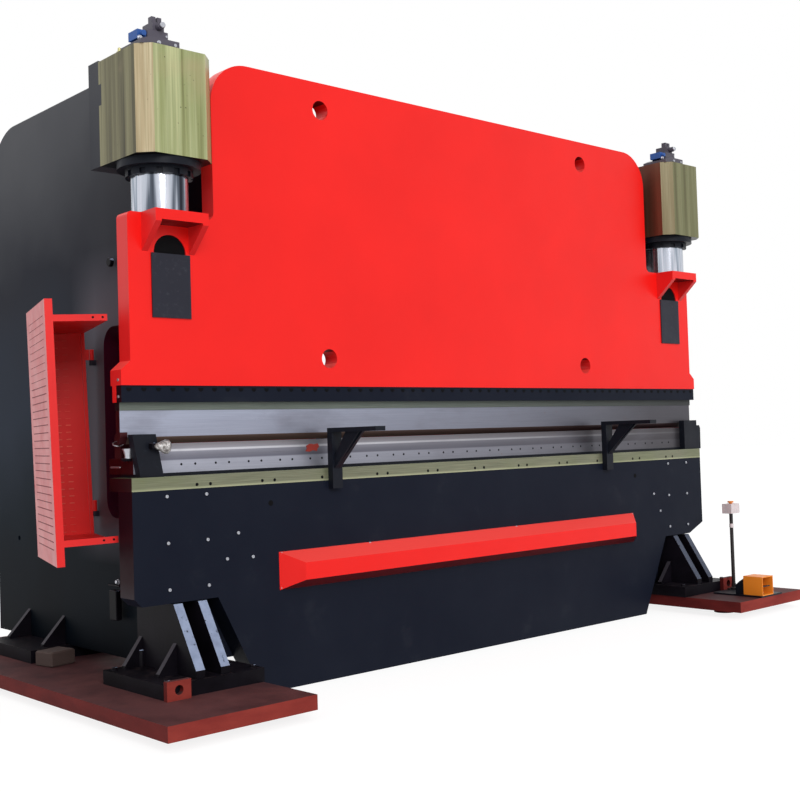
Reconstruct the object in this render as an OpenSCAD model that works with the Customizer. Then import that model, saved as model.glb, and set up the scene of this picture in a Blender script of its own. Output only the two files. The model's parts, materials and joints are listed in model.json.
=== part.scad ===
// Hydraulic sheet bending machine (press brake) with a 5 m table, standing on two base plates.
// Frame: x runs along the table, y runs to the back, z is up.
// Origin: on the ground, in the middle of the table's length, in the plane of the table's front face.

/* [Table] */
// Length of the table along x
table_len = 5000; // [4000:10:6000]
// Thickness of the table plate, front to back
table_t = 140; // [100:1:200]
// Height of the table plate's top above the ground
table_z = 1132; // [900:1:1300]
// Height of the table's straight lower edge
table_low_z = 552; // [400:1:700]
// Distance from the table's end to the hanging body
body_inset = 495; // [400:1:700]
// How much narrower the hanging body is at the ground, on each side
body_taper = 277; // [150:1:400]
// Chamfer of the table's left lower corner
left_chamfer = 42; // [20:1:80]
// Width of the chamfer of the table's right lower corner
right_chamfer_w = 180; // [100:1:240]
// Height of the chamfer of the table's right lower corner
right_chamfer_h = 76; // [40:1:120]
// Height of the machined rail on the table
rail_h = 69; // [40:1:100]
// Depth of the rail, front to back
rail_t = 230; // [180:1:260]
// Thickness of the bed beam behind the table
bed_t = 58; // [30:1:60]

/* [Tools] */
// Height of the dark strip under the die
die_base_h = 17; // [10:1:30]
// Height of the die
die_h = 153; // [100:1:200]
// Front face of the die behind the table's front
die_y = 66; // [40:1:90]
// Depth of the die, front to back
die_t = 88; // [60:1:120]
// Width of the groove in the top of the die
die_v = 50; // [20:1:70]
// Height of the die's foot
die_foot_h = 81; // [50:1:110]
// Depth of the die's foot, front to back
die_foot_t = 250; // [200:1:280]
// Distance from the table's end to the die's upper part
die_inset = 75; // [40:1:200]
// How far the die's foot stands out past its upper part at each end
die_step = 27; // [10:1:35]
// How far the upper tools stand out past the table at each end
punch_over = 10; // [0:1:15]
// Front face of the punch behind the table's front
punch_y = 90; // [86:1:92]
// Thickness of the punch
punch_t = 40; // [25:1:60]
// Height of the punch's straight body
punch_h = 137; // [80:1:180]
// Height of the punch's edge below its body
punch_tip_h = 35; // [20:1:60]
// Height of the strip over the punch
strip_h = 41; // [25:1:60]

/* [Ram] */
// Front face of the ram behind the table's front
ram_y = 43; // [20:1:80]
// Thickness of the ram
ram_t = 110; // [90:1:115]
// Underside of the ram's clamp bar at rest
clamp_z = 1586; // [1575:1:1610]
// Height of the clamp bar
clamp_h = 86; // [60:1:120]
// Thickness of the clamp bar
clamp_t = 51; // [40:1:56]
// Height of the ram's shoulders at rest
ram_shoulder_z = 2565; // [2540:1:2620]
// Height of the ram's top at rest
ram_top_z = 3451; // [3400:1:3700]
// Distance from the table's end to the ram's side
ram_inset = 32; // [20:1:60]
// Width of the ram's shoulder beside the upper plate
shoulder_w = 522; // [460:1:600]
// How far a wing at the ram's lower edge stands out
wing_w = 54; // [20:1:70]
// Radius of the upper plate's corners
ram_r = 240; // [100:1:400]
// Diameter of the four through holes in the ram
ram_hole_d = 112; // [60:1:160]
// Distance of the upper holes from the middle
hole_top_x = 1190; // [800:1:1500]
// Height of the upper holes
hole_top_z = 3289; // [3200:1:3330]
// Distance of the lower holes from the middle
hole_low_x = 1172; // [800:1:1500]
// Height of the lower holes
hole_low_z = 1834; // [1780:1:2000]
// Radius of the round end of the pocket under each rod
slot_r = 96; // [70:1:100]
// Distance of the pocket's middle from the ram's side
slot_in = 246; // [220:1:280]
// Height of the pocket's centre
slot_z = 2365; // [2300:1:2390]
// Lower end of the pocket
slot_low = 2030; // [1950:1:2100]
// Depth of the pocket
slot_d = 60; // [30:1:80]
// Height of the cover plate on the pocket
cover_h = 336; // [250:1:340]
// Thickness of the cover plate
cover_t = 9; // [4:1:12]
// Thickness of the shelf that carries a rod
shelf_t = 55; // [40:1:70]
// How far a shelf stands out in front of the ram
shelf_reach = 147; // [120:1:170]
// Distance from the rod's axis to the shelf's inner end
shelf_in_w = 172; // [155:1:180]
// Distance from the rod's axis to the shelf's outer end
shelf_out_w = 143; // [120:1:200]
// Thickness of a shelf gusset
gusset_t = 35; // [20:1:50]
// Height of a shelf gusset at the ram
gusset_h = 145; // [100:1:180]

/* [Cylinders] */
// Distance of each cylinder's axis from the ram's side
cyl_in = 223; // [200:1:235]
// Distance of each cylinder's axis behind the table's front
cyl_y = 92; // [40:1:150]
// Width of a cylinder block along x
cyl_w = 446; // [380:1:520]
// Distance from the axis to the block's front face
cyl_front = 226; // [180:1:260]
// Distance from the axis to the block's rear face
cyl_back = 219; // [180:1:260]
// Chamfer of the block's front corners
cyl_chamfer = 68; // [20:1:100]
// Underside of the block
cyl_low_z = 2841; // [2700:1:2900]
// Height of the block
cyl_h = 556; // [500:1:620]
// Height of the key between the block and the frame's head
key_h = 112; // [80:1:140]
// Height of the key above the block's underside
key_rise = 322; // [250:1:380]
// Depth of the key
key_d = 28; // [15:1:35]
// Diameter of the piston rod
rod_d = 300; // [250:1:310]
// How far the rod goes up into the block at rest
rod_in = 239; // [190:1:260]
// Depth of the cylinder's bore
bore_depth = 429; // [415:1:450]
// Clearance between a rod and the cylinder's bore, on the radius
bore_gap = 12; // [8:1:18]
// Running clearance between a rod and its gland ring, on the radius
rod_fit = 0.08; // [0.02:0.01:0.1]
// Outer diameter of the gland ring
gland_d = 436; // [380:1:440]
// Height of the gland ring
gland_h = 41; // [30:1:60]
// Outer diameter of the notched nut under the gland ring
nut_d = 352; // [345:1:380]
// Height of the notched nut
nut_h = 39; // [25:1:50]
// Number of notches in the nut
nut_notches = 12; // [6:1:20]
// Clearance between the nut and the rod, on the radius
nut_gap = 2; // [1:0.5:4]

/* [Side frames] */
// Distance from the table's end to a side frame's outer face
frame_inset = 268; // [250:1:290]
// Thickness of a side frame's plate
frame_t = 94; // [70:1:110]
// Front edge of the frame's leg
leg_y = 200; // [150:1:300]
// Front edge of the frame's head
head_y = 420; // [350:1:500]
// Rear edge of the throat
throat_y = 762; // [600:1:900]
// Top of the throat
throat_top_z = 2036; // [1900:1:2200]
// Bottom of the throat
throat_low_z = 962; // [850:1:1100]
// Radius of the throat's rear corners
throat_r = 110; // [40:1:200]
// Rear edge of the frame
frame_back_y = 2240; // [1800:1:2600]
// Top of the frame
frame_top_z = 3438; // [3200:1:3600]
// Radius of the frame's rear top corner
frame_r = 350; // [100:1:500]
// Thickness of the rib beside the throat, on the frame's inner face
rib_t = 30; // [20:1:40]
// Width of the rib beside the throat
rib_w = 70; // [40:1:100]
// Width of a ram guide
guide_w = 190; // [160:1:200]
// Front face of a ram guide
guide_y = 215; // [205:1:240]
// Lower end of a ram guide
guide_low = 2060; // [2055:1:2080]
// Height of a ram guide
guide_h = 420; // [400:1:480]
// Width of the slide block on the ram
slide_w = 80; // [60:1:100]
// Rear end of the slide block
slide_back = 320; // [280:1:360]
// Clearance between the slide block and its guide
guide_fit = 0.4; // [0.3:0.05:1]
// Front of the oil tank
tank_y = 470; // [450:1:700]
// Depth of the oil tank
tank_len = 800; // [500:1:1000]
// Underside of the oil tank
tank_z = 2680; // [2550:1:2800]
// Height of the oil tank
tank_h = 650; // [400:1:700]
// Front of the rear beam
rear_beam_y = 1500; // [1300:1:1900]
// Thickness of the rear beam
rear_beam_t = 140; // [60:1:200]
// Underside of the rear beam
rear_beam_z = 500; // [300:1:900]
// Height of the rear beam
rear_beam_h = 400; // [200:1:600]
// Top of the covers at the rear
rear_cover_top = 1960; // [1600:1:1990]
// Thickness of a rear cover's sheet
rear_cover_t = 3; // [2:0.5:6]
// Depth of a rear cover's folded edge
rear_cover_fold = 40; // [20:1:60]

/* [Back gauge] */
// Distance of a back gauge rail from the middle
gauge_rail_x = 900; // [500:1:1400]
// Length of a back gauge rail
gauge_rail_len = 900; // [700:1:1100]
// Width of a back gauge rail
gauge_rail_w = 120; // [80:1:160]
// Height of a back gauge rail
gauge_rail_h = 100; // [60:1:140]
// Half length of the back gauge's beam
gauge_half = 1550; // [1200:1:1900]
// Front of the back gauge's beam
gauge_y = 760; // [640:1:840]
// Height of the back gauge's beam
gauge_h = 110; // [80:1:140]
// Depth of the back gauge's beam
gauge_t = 90; // [60:1:120]
// Distance of the stop fingers from the middle
finger_x = 640; // [300:1:1000]
// Length of a stop finger
finger_len = 210; // [150:1:260]

/* [Feet and base plates] */
// Underside of a base plate, which stands on levelling pads
base_z = 47; // [20:1:80]
// Thickness of a base plate
base_t = 75; // [40:1:120]
// How far a base plate reaches in from its frame
base_reach_in = 242; // [200:1:300]
// How far a base plate reaches out from its frame
base_reach_out = 503; // [480:1:600]
// Front edge of a base plate
base_front = -687; // [-900:1:-400]
// Rear edge of a base plate
base_back = 2340; // [2000:1:2600]
// Thickness of a foot plate
foot_t = 74; // [40:1:100]
// How far a foot plate reaches in from its frame
foot_reach_in = 250; // [190:1:260]
// How far a foot plate reaches out from its frame
foot_reach_out = 246; // [200:1:300]
// Front edge of the front foot plate
foot_front = -235; // [-400:1:-100]
// Depth of a foot plate
foot_len = 620; // [400:1:800]
// Front edge of the rear foot plate
rear_foot_front = 1250; // [1100:1:1500]
// Thickness of the sloping foot gussets
bar_t = 53; // [30:1:60]
// Thickness of the cross gussets
web_t = 32; // [20:1:40]
// Width of a lifting block
lug_w = 136; // [110:1:160]
// Thickness of a lifting block
lug_t = 30; // [20:1:40]
// Radius of the hole in a lifting block
lug_r = 24; // [18:1:28]

/* [Side guards] */
// Depth of the guard box
guard_len = 705; // [500:1:707]
// Width of the guard box
guard_w = 316; // [250:1:350]
// Lower edge of the guard
guard_low_z = 772; // [700:1:900]
// Upper edge of the guard
guard_top_z = 2132; // [2000:1:2200]
// Thickness of the guard's sheet
guard_sheet = 5; // [2:0.5:8]
// Angle that the left guard stands open in the photograph
guard_open = 17.5; // [0:0.5:30]
// Angle that the left guard leans outwards on its hinges
guard_lean = 1.6; // [0:0.1:1.8]
// Distance of the hinge axis behind the throat
hinge_back = 108; // [106:1:200]
// Height of a guard hinge
hinge_h = 60; // [40:1:80]
// Height of the lower hinge
hinge_low_z = 1000; // [900:1:1200]
// Height of the upper hinge
hinge_top_z = 1860; // [1700:1:1950]
// Height of the guard's lower arm
arm_low_z = 870; // [840:1:900]
// Height of the guard's upper arm
arm_top_z = 2016; // [1990:1:2018]
// Distance from the frame's outer face to the hinge axis
hinge_gap = 22; // [18:1:40]
// Diameter of the hinge pin
pin_d = 16; // [10:1:24]
// Running clearance of the hinge, on the radius
pin_fit = 0.05; // [0.02:0.01:0.1]

/* [Foot switch] */
// Distance from the base plate's outer edge to the switch's floor plate
switch_in = 565; // [500:1:600]
// How far the floor plate stands over the base plate's front
switch_over = 3; // [0:1:10]
// Width of the floor plate
switch_w = 280; // [260:1:400]
// Depth of the floor plate
switch_len = 400; // [380:1:460]
// Thickness of the floor plate
switch_t = 12; // [6:1:20]
// Width of the foot hood
hood_w = 145; // [120:1:180]
// Depth of the foot hood
hood_len = 155; // [120:1:200]
// Height of the foot hood
hood_h = 135; // [110:1:160]
// Wall of the foot hood
hood_wall = 6; // [3:1:10]
// Diameter of the treadle's pin
treadle_pin_d = 10; // [6:1:14]
// Angle that the treadle stands up at rest
treadle_rise = 9; // [4:1:12]
// Depth of the switch body behind the hood
switch_body_len = 70; // [40:1:90]
// Height of the post that carries the stop box
post_h = 575; // [400:1:800]
// Diameter of the post
post_d = 27; // [18:1:40]
// Width of the stop box
box_w = 112; // [90:1:140]
// Depth of the stop box
box_len = 80; // [60:1:90]
// Height of the stop box
box_h = 72; // [60:1:90]
// Diameter of the stop button's stem
stem_d = 22; // [12:1:24]
// Travel of the stop button
button_stroke = 6; // [3:1:8]
// Running clearance of the stem and the treadle's pin, on the radius
switch_fit = 0.05; // [0.02:0.01:0.1]

/* [Front] */
// Half length of the red cover at the table's front
cover_half = 1605; // [1200:1:1700]
// Underside of the cover
cover_z = 545; // [450:1:600]
// Height of the cover
cover_height = 209; // [150:1:250]
// Depth of the cover
cover_depth = 105; // [60:1:140]
// Bevel of the cover at its ends
cover_bevel = 105; // [50:1:150]
// Height of the cover's front face
cover_face_h = 95; // [60:1:130]
// Distance of the left support arm from the middle
arm_left = 1205; // [1000:1:1500]
// Distance of the right support arm from the middle
arm_right = 1308; // [1000:1:1500]
// Width of a support arm
arm_w = 72; // [50:1:90]
// Length of a support arm
arm_len = 425; // [300:1:500]
// Thickness of a support arm
arm_t = 25; // [15:1:40]
// Lower end of a support arm's post
arm_low = 1085; // [900:1:1120]
// Height of a support arm's post
arm_h = 346; // [300:1:400]
// Depth of a support arm's post
post_t = 42; // [30:1:60]

/* [Hidden] */
half = table_len / 2;
rail_z = table_z + rail_h;
die_base_z = rail_z + die_base_h;
die_z = die_base_z + die_h;
die_top_half = half - die_inset;
die_half = die_top_half + die_step;
punch_half = half + punch_over;
body_half_top = half - body_inset;
body_half_low = body_half_top - body_taper;
strip_z = clamp_z - strip_h;
punch_low_z = strip_z - punch_h;
clamp_y = ram_y + 7;
ram_low_z = clamp_z + clamp_h;
rear = ram_y + ram_t;
ram_half = half - ram_inset;
wing_half = ram_half + wing_w;
wing_z = ram_low_z + 79;
wing_top_z = ram_low_z + 125;
ram_top_half = ram_half - shoulder_w;
cyl_x = ram_half - cyl_in;
slot_x = ram_half - slot_in;
shelf_front = ram_y - shelf_reach;
shelf_in = cyl_x - shelf_in_w;
shelf_out = cyl_x + shelf_out_w;
cyl_top_z = cyl_low_z + cyl_h;
gland_z = cyl_low_z - gland_h;
rod_top = cyl_low_z + rod_in;
key_z = cyl_low_z + key_rise;
frame_out = half - frame_inset;
frame_in = frame_out - frame_t;
frame_mid = frame_out - frame_t / 2;
guide_high = guide_low + guide_h;
foot_z = base_z + base_t;
foot_top = foot_z + foot_t;
foot_in = frame_in - foot_reach_in;
foot_out = frame_out + foot_reach_out;
base_in = frame_in - base_reach_in;
base_out = frame_out + base_reach_out;
hinge_x = -frame_out - hinge_gap;
hinge_y = throat_y + hinge_back;
plate_z = foot_z + switch_t;
switch_x = base_out - switch_in;
switch_y = base_front - switch_over;
hood_x = switch_x + 17;
pedal_y = switch_y + hood_len - 30;
pedal_z = plate_z + 38;
post_x = switch_x + 224;
post_y = switch_y + 366;
box_z = plate_z + post_h;
button_gap = button_stroke + 2;
gauge_rail_z = throat_low_z - gauge_rail_h - 20;
gauge_z = throat_low_z - 20;
$fn = 64;

// A box from its two corners.
module block(a, b) {
    translate(a) cube(b - a);
}

// What is left of a square corner outside a radius, for rounding an outline.
module corner(r) {
    difference() {
        square(r + 5);
        circle(r);
    }
}

// An outline drawn in y and z, given thickness along x.
module along_x(x0, x1) {
    translate([x0, 0, 0]) rotate([90, 0, 90]) linear_extrude(x1 - x0) children();
}

// An outline drawn in x and z, given thickness along y.
module along_y(y0, y1) {
    translate([0, y1, 0]) rotate([90, 0, 0]) linear_extrude(y1 - y0) children();
}

// Built for the right side, mirrored for the left one.
module side(s) {
    if (s > 0) children();
    else mirror([1, 0, 0]) children();
}

// The C-shaped plate with its throat, the head that carries the cylinder and the flange for the table.
module side_frame(s) color([0.29, 0.30, 0.33]) side(s) {
    difference() {
        along_x(frame_in, frame_out) difference() {
            translate([leg_y, foot_top]) square([frame_back_y - leg_y, frame_top_z - foot_top]);
            translate([leg_y - 1, throat_low_z])
                square([throat_y - throat_r - leg_y + 1, throat_top_z - throat_low_z]);
            translate([leg_y - 1, throat_low_z + throat_r])
                square([throat_y - leg_y + 1, throat_top_z - throat_low_z - 2 * throat_r]);
            for (z = [throat_low_z + throat_r, throat_top_z - throat_r])
                translate([throat_y - throat_r, z]) circle(throat_r);
            translate([leg_y - 1, throat_top_z - 1]) square([head_y - leg_y + 1, frame_top_z]);
            translate([frame_back_y - frame_r, frame_top_z - frame_r]) corner(frame_r);
        }
        translate([frame_in - 1, 1923, 798]) rotate([0, 90, 0]) cylinder(r = 16, h = frame_t + 2);
    }
    // head with the key that fits the cylinder block
    block([cyl_x - cyl_w / 2, cyl_y + cyl_back, cyl_low_z], [cyl_x + cyl_w / 2, head_y, cyl_top_z + 8]);
    block([cyl_x - cyl_w / 2, cyl_y + cyl_back - key_d, key_z],
          [cyl_x + cyl_w / 2, cyl_y + cyl_back + 1, key_z + key_h]);
    // rib beside the throat
    block([frame_in - rib_t, throat_y, throat_low_z], [frame_in + 1, throat_y + rib_w, throat_top_z]);
    // flange behind the table
    block([frame_in, table_t, table_low_z + 20], [frame_out + 18, leg_y + 1, throat_low_z]);
}

// One sloping gusset that reaches from the table's lower edge to the foot plate.
module foot_bar(x0, y0, y1) {
    along_x(x0, x0 + bar_t)
        polygon([[y0, foot_top], [y0, foot_top + 38], [y0 + 200, table_low_z - 4],
                 [y1, table_low_z - 4], [y1, foot_top]]);
}

// A small cross gusset beside the frame.
module foot_gusset(x0, w, y, z1) {
    along_y(y, y + web_t)
        polygon([[x0, foot_top], [x0 + w, foot_top], [x0 + w, foot_top + 14], [x0, z1]]);
}

// The front and the rear plate under a side frame.
module foot_plates(s) color([0.10, 0.11, 0.14]) side(s) {
    block([foot_in, foot_front, foot_z], [foot_out, foot_front + foot_len, foot_top]);
    block([foot_in, rear_foot_front, foot_z], [foot_out, rear_foot_front + foot_len, foot_top]);
}

// The gussets between the foot plates and the side frame.
module foot_gussets(s) color([0.10, 0.11, 0.14]) side(s) {
    bar_y = foot_front + 23;
    rear_y = rear_foot_front + 60;
    foot_bar(frame_out, bar_y, leg_y + 160);
    foot_bar(frame_in - bar_t, bar_y, leg_y + 160);
    for (y = [-35, 310]) foot_gusset(frame_out + bar_t, 105, y, 352);
    mirror([1, 0, 0]) foot_gusset(bar_t - frame_in, 130, 20, 352);
    for (y = [rear_y, rear_y + foot_len - 152]) {
        foot_gusset(frame_out, 140, y, 362);
        mirror([1, 0, 0]) foot_gusset(-frame_in, 140, y, 362);
    }
}

// The blocks with a hole for lifting at the feet's outer front corners.
module lifting_blocks() color([0.36, 0.16, 0.13])
    for (s = [-1, 1]) side(s)
        difference() {
            block([foot_out + 6 - lug_w, foot_front - lug_t, foot_z],
                  [foot_out + 6, foot_front, foot_top + 22]);
            translate([foot_out + 6 - lug_w / 2, foot_front - lug_t - 1, foot_z + 50]) rotate([-90, 0, 0])
                cylinder(r = lug_r, h = lug_t + 2);
        }

// A thick steel plate on six levelling pads set back from its edges.
module base_plate(s) color([0.40, 0.22, 0.19]) side(s) {
    block([base_in, base_front, base_z], [base_out, base_back, foot_z]);
    for (x = [base_in + 260, base_out - 290], y = [base_front + 300, 820, base_back - 300])
        translate([x, y, 0]) cylinder(r = 75, h = base_z);
}

// The table plate with the trapezoid body that hangs to the ground.
module table() color([0.11, 0.13, 0.18])
    along_y(0, table_t)
        polygon([[-half, table_z], [half, table_z], [half, table_low_z + right_chamfer_h],
                 [half - right_chamfer_w, table_low_z],
                 [body_half_top, table_low_z], [body_half_low, 0], [-body_half_low, 0],
                 [-body_half_top, table_low_z], [left_chamfer - half, table_low_z],
                 [-half, table_low_z + left_chamfer]]);

module table_rail() color([0.55, 0.55, 0.38])
    block([-half, 0, table_z], [half, rail_t, rail_z]);

// The beam behind the table that joins the two side frames.
module bed_beam() color([0.09, 0.10, 0.13])
    along_y(table_t, table_t + bed_t)
        polygon([[bar_t - frame_in, foot_top + 4], [frame_in - bar_t, foot_top + 4],
                 [frame_in - bar_t, table_low_z], [frame_in, table_low_z], [frame_in, throat_low_z],
                 [-frame_in, throat_low_z], [-frame_in, table_low_z], [bar_t - frame_in, table_low_z]]);

module die_base() color([0.09, 0.09, 0.11])
    block([12 - die_half, die_y, rail_z], [die_half - 12, rail_t, die_base_z]);

// The long die with its groove on a deeper and slightly longer foot.
module die() color([0.78, 0.79, 0.82]) {
    mid = die_y + die_t / 2;
    foot_top_z = die_base_z + die_foot_h;
    block([-die_half, die_y, die_base_z], [die_half, die_y + die_foot_t, foot_top_z]);
    along_x(-die_top_half, die_top_half)
        polygon([[die_y, foot_top_z - 1], [die_y + die_t, foot_top_z - 1], [die_y + die_t, die_z],
                 [mid + die_v / 2, die_z], [mid, die_z - die_v / 2], [mid - die_v / 2, die_z],
                 [die_y, die_z]]);
}

// The leaning bracket at the left end of the die.
module left_end_bracket() color([0.08, 0.09, 0.12])
    translate([-die_top_half, 0, rail_z]) along_y(20, die_y)
        polygon([[-13, 0], [122, 0], [80, 220], [-55, 220]]);

// The bracket with a raised lug at the right end of the die.
module right_end_bracket() color([0.08, 0.09, 0.12])
    translate([die_top_half, 0, rail_z]) along_y(20, die_y)
        polygon([[-95, 0], [120, 0], [123, 161], [110, 184], [75, 184], [73, 224], [-95, 224]]);

// Outline of the ram seen from the front.
module ram_outline() {
    neck_r = 41;
    shoulder_r = 28;
    difference() {
        union() {
            translate([-ram_top_half, ram_shoulder_z - 50])
                square([2 * ram_top_half, ram_top_z - ram_shoulder_z + 50]);
            translate([-ram_half, wing_top_z]) square([2 * ram_half, ram_shoulder_z - wing_top_z]);
            polygon([[-ram_half, wing_top_z + 1], [ram_half, wing_top_z + 1], [ram_half, wing_top_z],
                     [wing_half, wing_z], [wing_half, ram_low_z], [-wing_half, ram_low_z],
                     [-wing_half, wing_z], [-ram_half, wing_top_z]]);
            for (m = [0, 1]) mirror([m, 0])
                translate([ram_top_half, ram_shoulder_z - 1]) difference() {
                    square(neck_r);
                    translate([neck_r, neck_r]) circle(neck_r - 1);
                }
        }
        for (m = [0, 1]) mirror([m, 0]) {
            translate([ram_top_half - ram_r, ram_top_z - ram_r]) corner(ram_r);
            translate([ram_half - shoulder_r, ram_shoulder_z - shoulder_r]) corner(shoulder_r);
            translate([hole_top_x, hole_top_z]) circle(d = ram_hole_d);
            translate([hole_low_x, hole_low_z]) circle(d = ram_hole_d);
        }
    }
}

// The tall plate that carries the upper tools, with its slots, holes, rear lip and slide blocks.
module ram() color([0.96, 0.19, 0.18]) {
    difference() {
        along_y(ram_y, rear) ram_outline();
        for (s = [-1, 1]) along_y(ram_y - 1, ram_y + slot_d) {
            translate([s * slot_x, slot_z]) circle(slot_r);
            translate([s * slot_x - slot_r, slot_low]) square([2 * slot_r, slot_z - slot_low]);
        }
    }
    block([-wing_half, clamp_y + clamp_t, clamp_z], [wing_half, rear - 16, ram_low_z + 1]);
    for (s = [-1, 1]) side(s)
        block([frame_mid - slide_w / 2, rear - 1, guide_low + 40],
              [frame_mid + slide_w / 2, slide_back, guide_high - 120]);
}

// The shelf level with the ram's shoulder that carries a piston rod: a front half with two gussets
// and a rear half.
module rod_bracket(s) color([0.96, 0.19, 0.18]) side(s) {
    low = ram_shoulder_z - shelf_t;
    block([shelf_in, shelf_front, low], [shelf_out, ram_y, ram_shoulder_z]);
    for (x = [shelf_in, shelf_out - gusset_t])
        along_x(x, x + gusset_t)
            polygon([[shelf_front, low + 1], [ram_y, low + 1], [ram_y, low - gusset_h],
                     [shelf_front, low - 10]]);
    block([shelf_in, rear, low], [shelf_out, cyl_y + rod_d / 2 + 10, ram_shoulder_z]);
}

module slot_covers() color([0.17, 0.18, 0.22])
    for (s = [-1, 1]) side(s)
        block([slot_x - slot_r - 21, ram_y - cover_t, slot_low - 6],
              [slot_x + slot_r + 18, ram_y, slot_low - 6 + cover_h]);

// The bar that clamps the upper tools, with its row of screw holes.
module clamp_bar() color([0.10, 0.12, 0.17])
    block([-punch_half - 9, clamp_y, clamp_z], [punch_half + 9, clamp_y + clamp_t, ram_low_z]);

module tool_strip() color([0.42, 0.46, 0.42])
    block([-punch_half - 3, punch_y - 6, strip_z], [punch_half + 3, punch_y + punch_t + 4, clamp_z]);

// The long punch with its tapered edge.
module punch() color([0.80, 0.81, 0.84])
    along_x(-punch_half, punch_half)
        polygon([[punch_y, strip_z], [punch_y + punch_t, strip_z], [punch_y + punch_t, punch_low_z],
                 [punch_y + punch_t / 2 + 1, punch_low_z - punch_tip_h],
                 [punch_y + punch_t / 2 - 1, punch_low_z - punch_tip_h], [punch_y, punch_low_z]]);

// The forged block with its chamfered front corners, cylinder bore and keyway.
module cylinder_block(s) color([0.62, 0.62, 0.42]) side(s) {
    difference() {
        translate([cyl_x, cyl_y, cyl_low_z]) linear_extrude(cyl_top_z - cyl_low_z)
            polygon([[-cyl_w / 2, cyl_back], [-cyl_w / 2, cyl_chamfer - cyl_front],
                     [cyl_chamfer - cyl_w / 2, -cyl_front], [cyl_w / 2 - cyl_chamfer, -cyl_front],
                     [cyl_w / 2, cyl_chamfer - cyl_front], [cyl_w / 2, cyl_back]]);
        translate([cyl_x, cyl_y, cyl_low_z - 1]) cylinder(d = rod_d + 2 * bore_gap, h = bore_depth + 1);
        block([cyl_x - cyl_w, cyl_y + cyl_back - key_d, key_z],
              [cyl_x + cyl_w, cyl_y + cyl_back + 1, key_z + key_h]);
    }
}

// The round ring that guides the rod under the block.
module gland(s) color([0.10, 0.10, 0.12]) side(s)
    translate([cyl_x, cyl_y, gland_z]) difference() {
        cylinder(d = gland_d, h = gland_h);
        translate([0, 0, -1]) cylinder(d = rod_d + 2 * rod_fit, h = gland_h + 2);
    }

// The notched nuts under the gland rings.
module gland_nuts() color([0.10, 0.10, 0.12])
    for (s = [-1, 1]) side(s) translate([cyl_x, cyl_y, gland_z - nut_h]) difference() {
        cylinder(d = nut_d, h = nut_h);
        translate([0, 0, -1]) cylinder(d = rod_d + 2 * nut_gap, h = nut_h + 2);
        for (i = [0 : nut_notches - 1]) rotate(i * 360 / nut_notches)
            translate([nut_d / 2 - 12, -16, -1]) cube([20, 32, nut_h - 11]);
    }

module piston_rod(s) color([0.85, 0.86, 0.88]) side(s)
    translate([cyl_x, cyl_y, ram_shoulder_z]) cylinder(d = rod_d, h = rod_top - ram_shoulder_z);

// The valve block on top of a cylinder: a sloping base, a manifold, a valve with two plugs on top and
// an end cap to the front.
module valve(x) color([0.22, 0.23, 0.26]) translate([x, 0, cyl_top_z]) {
    along_y(-105, 100) polygon([[-205, 0], [20, 0], [20, 42], [-150, 42], [-205, 20]]);
    block([-140, -60, 41], [-20, 60, 95]);
    block([-104, -50, 94], [-36, 50, 142]);
    for (dx = [-98, -64]) block([dx, -32, 141], [dx + 24, 2, 176]);
    translate([-70, -49, 118]) rotate([90, 0, 0]) cylinder(r = 19, h = 34);
    translate([-70, -82, 118]) rotate([90, 0, 0]) cylinder(r = 11, h = 10);
}

// The blue coils beside the manifolds.
module valve_coils() color([0.16, 0.36, 0.62])
    for (x = [-cyl_x, cyl_x])
        translate([x, 0, cyl_top_z]) {
            block([-190, -46, 42], [-140, 46, 88]);
            translate([-165, -45, 66]) rotate([90, 0, 0]) cylinder(r = 14, h = 24);
        }

// The channel on the frame's head in which the ram's slide block runs.
module ram_guide(s) color([0.20, 0.21, 0.24]) side(s)
    difference() {
        block([frame_mid - guide_w / 2, guide_y, guide_low], [frame_mid + guide_w / 2, head_y, guide_high]);
        block([frame_mid - slide_w / 2 - guide_fit, guide_y - 1, guide_low - 1],
              [frame_mid + slide_w / 2 + guide_fit, slide_back + guide_fit, guide_high + 1]);
    }

// A guard box, drawn closed, with its hinge axis on z; it leans outwards, but its hinges stay upright.
module guard_box(lean) {
    out = -guard_w - 18;
    t = guard_sheet;
    difference() {
        union() {
            translate([0, 0, (guard_low_z + guard_top_z) / 2]) rotate([0, -lean, 0])
                translate([0, 0, -(guard_low_z + guard_top_z) / 2]) {
                    block([out, -guard_len, guard_low_z], [out + t, 0, guard_top_z]);
                    block([out, -t, guard_low_z + 70], [-42, 0, guard_top_z - 80]);
                    block([out, -guard_len, guard_low_z], [out + 40, t - guard_len, guard_top_z]);
                    for (z = [arm_low_z, arm_top_z]) {
                        block([out, -guard_len, z], [-22, -1, z + t]);
                        block([out, -guard_len, z], [-22, t - guard_len, z + 34]);
                    }
                }
            for (z = [hinge_low_z, hinge_top_z]) translate([0, 0, z]) {
                cylinder(r = 15, h = hinge_h);
                block([-64, -6, 0], [0, 0, hinge_h]);
            }
        }
        for (z = [hinge_low_z, hinge_top_z]) translate([0, 0, z - 1])
            cylinder(d = pin_d + 2 * pin_fit, h = hinge_h + 2);
    }
}

module left_guard() color([0.86, 0.17, 0.17])
    translate([hinge_x, hinge_y, 0]) rotate([0, 0, -guard_open]) guard_box(guard_lean);

// Fixed hinge leaves with their pins.
module guard_hinges() {
    for (z = [hinge_low_z, hinge_top_z]) translate([hinge_x, hinge_y, z]) {
        translate([0, 0, -30]) cylinder(r = 15, h = 29.7);
        translate([0, 0, -2]) cylinder(d = pin_d, h = hinge_h);
        block([0, -15, -30], [hinge_gap, 15, -0.3]);
    }
}

module left_guard_hinges() color([0.30, 0.31, 0.33]) guard_hinges();

module right_guard() color([0.86, 0.17, 0.17]) mirror([1, 0, 0])
    translate([hinge_x, hinge_y, 0]) guard_box(0);

module right_guard_hinges() color([0.30, 0.31, 0.33]) mirror([1, 0, 0]) guard_hinges();

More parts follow.
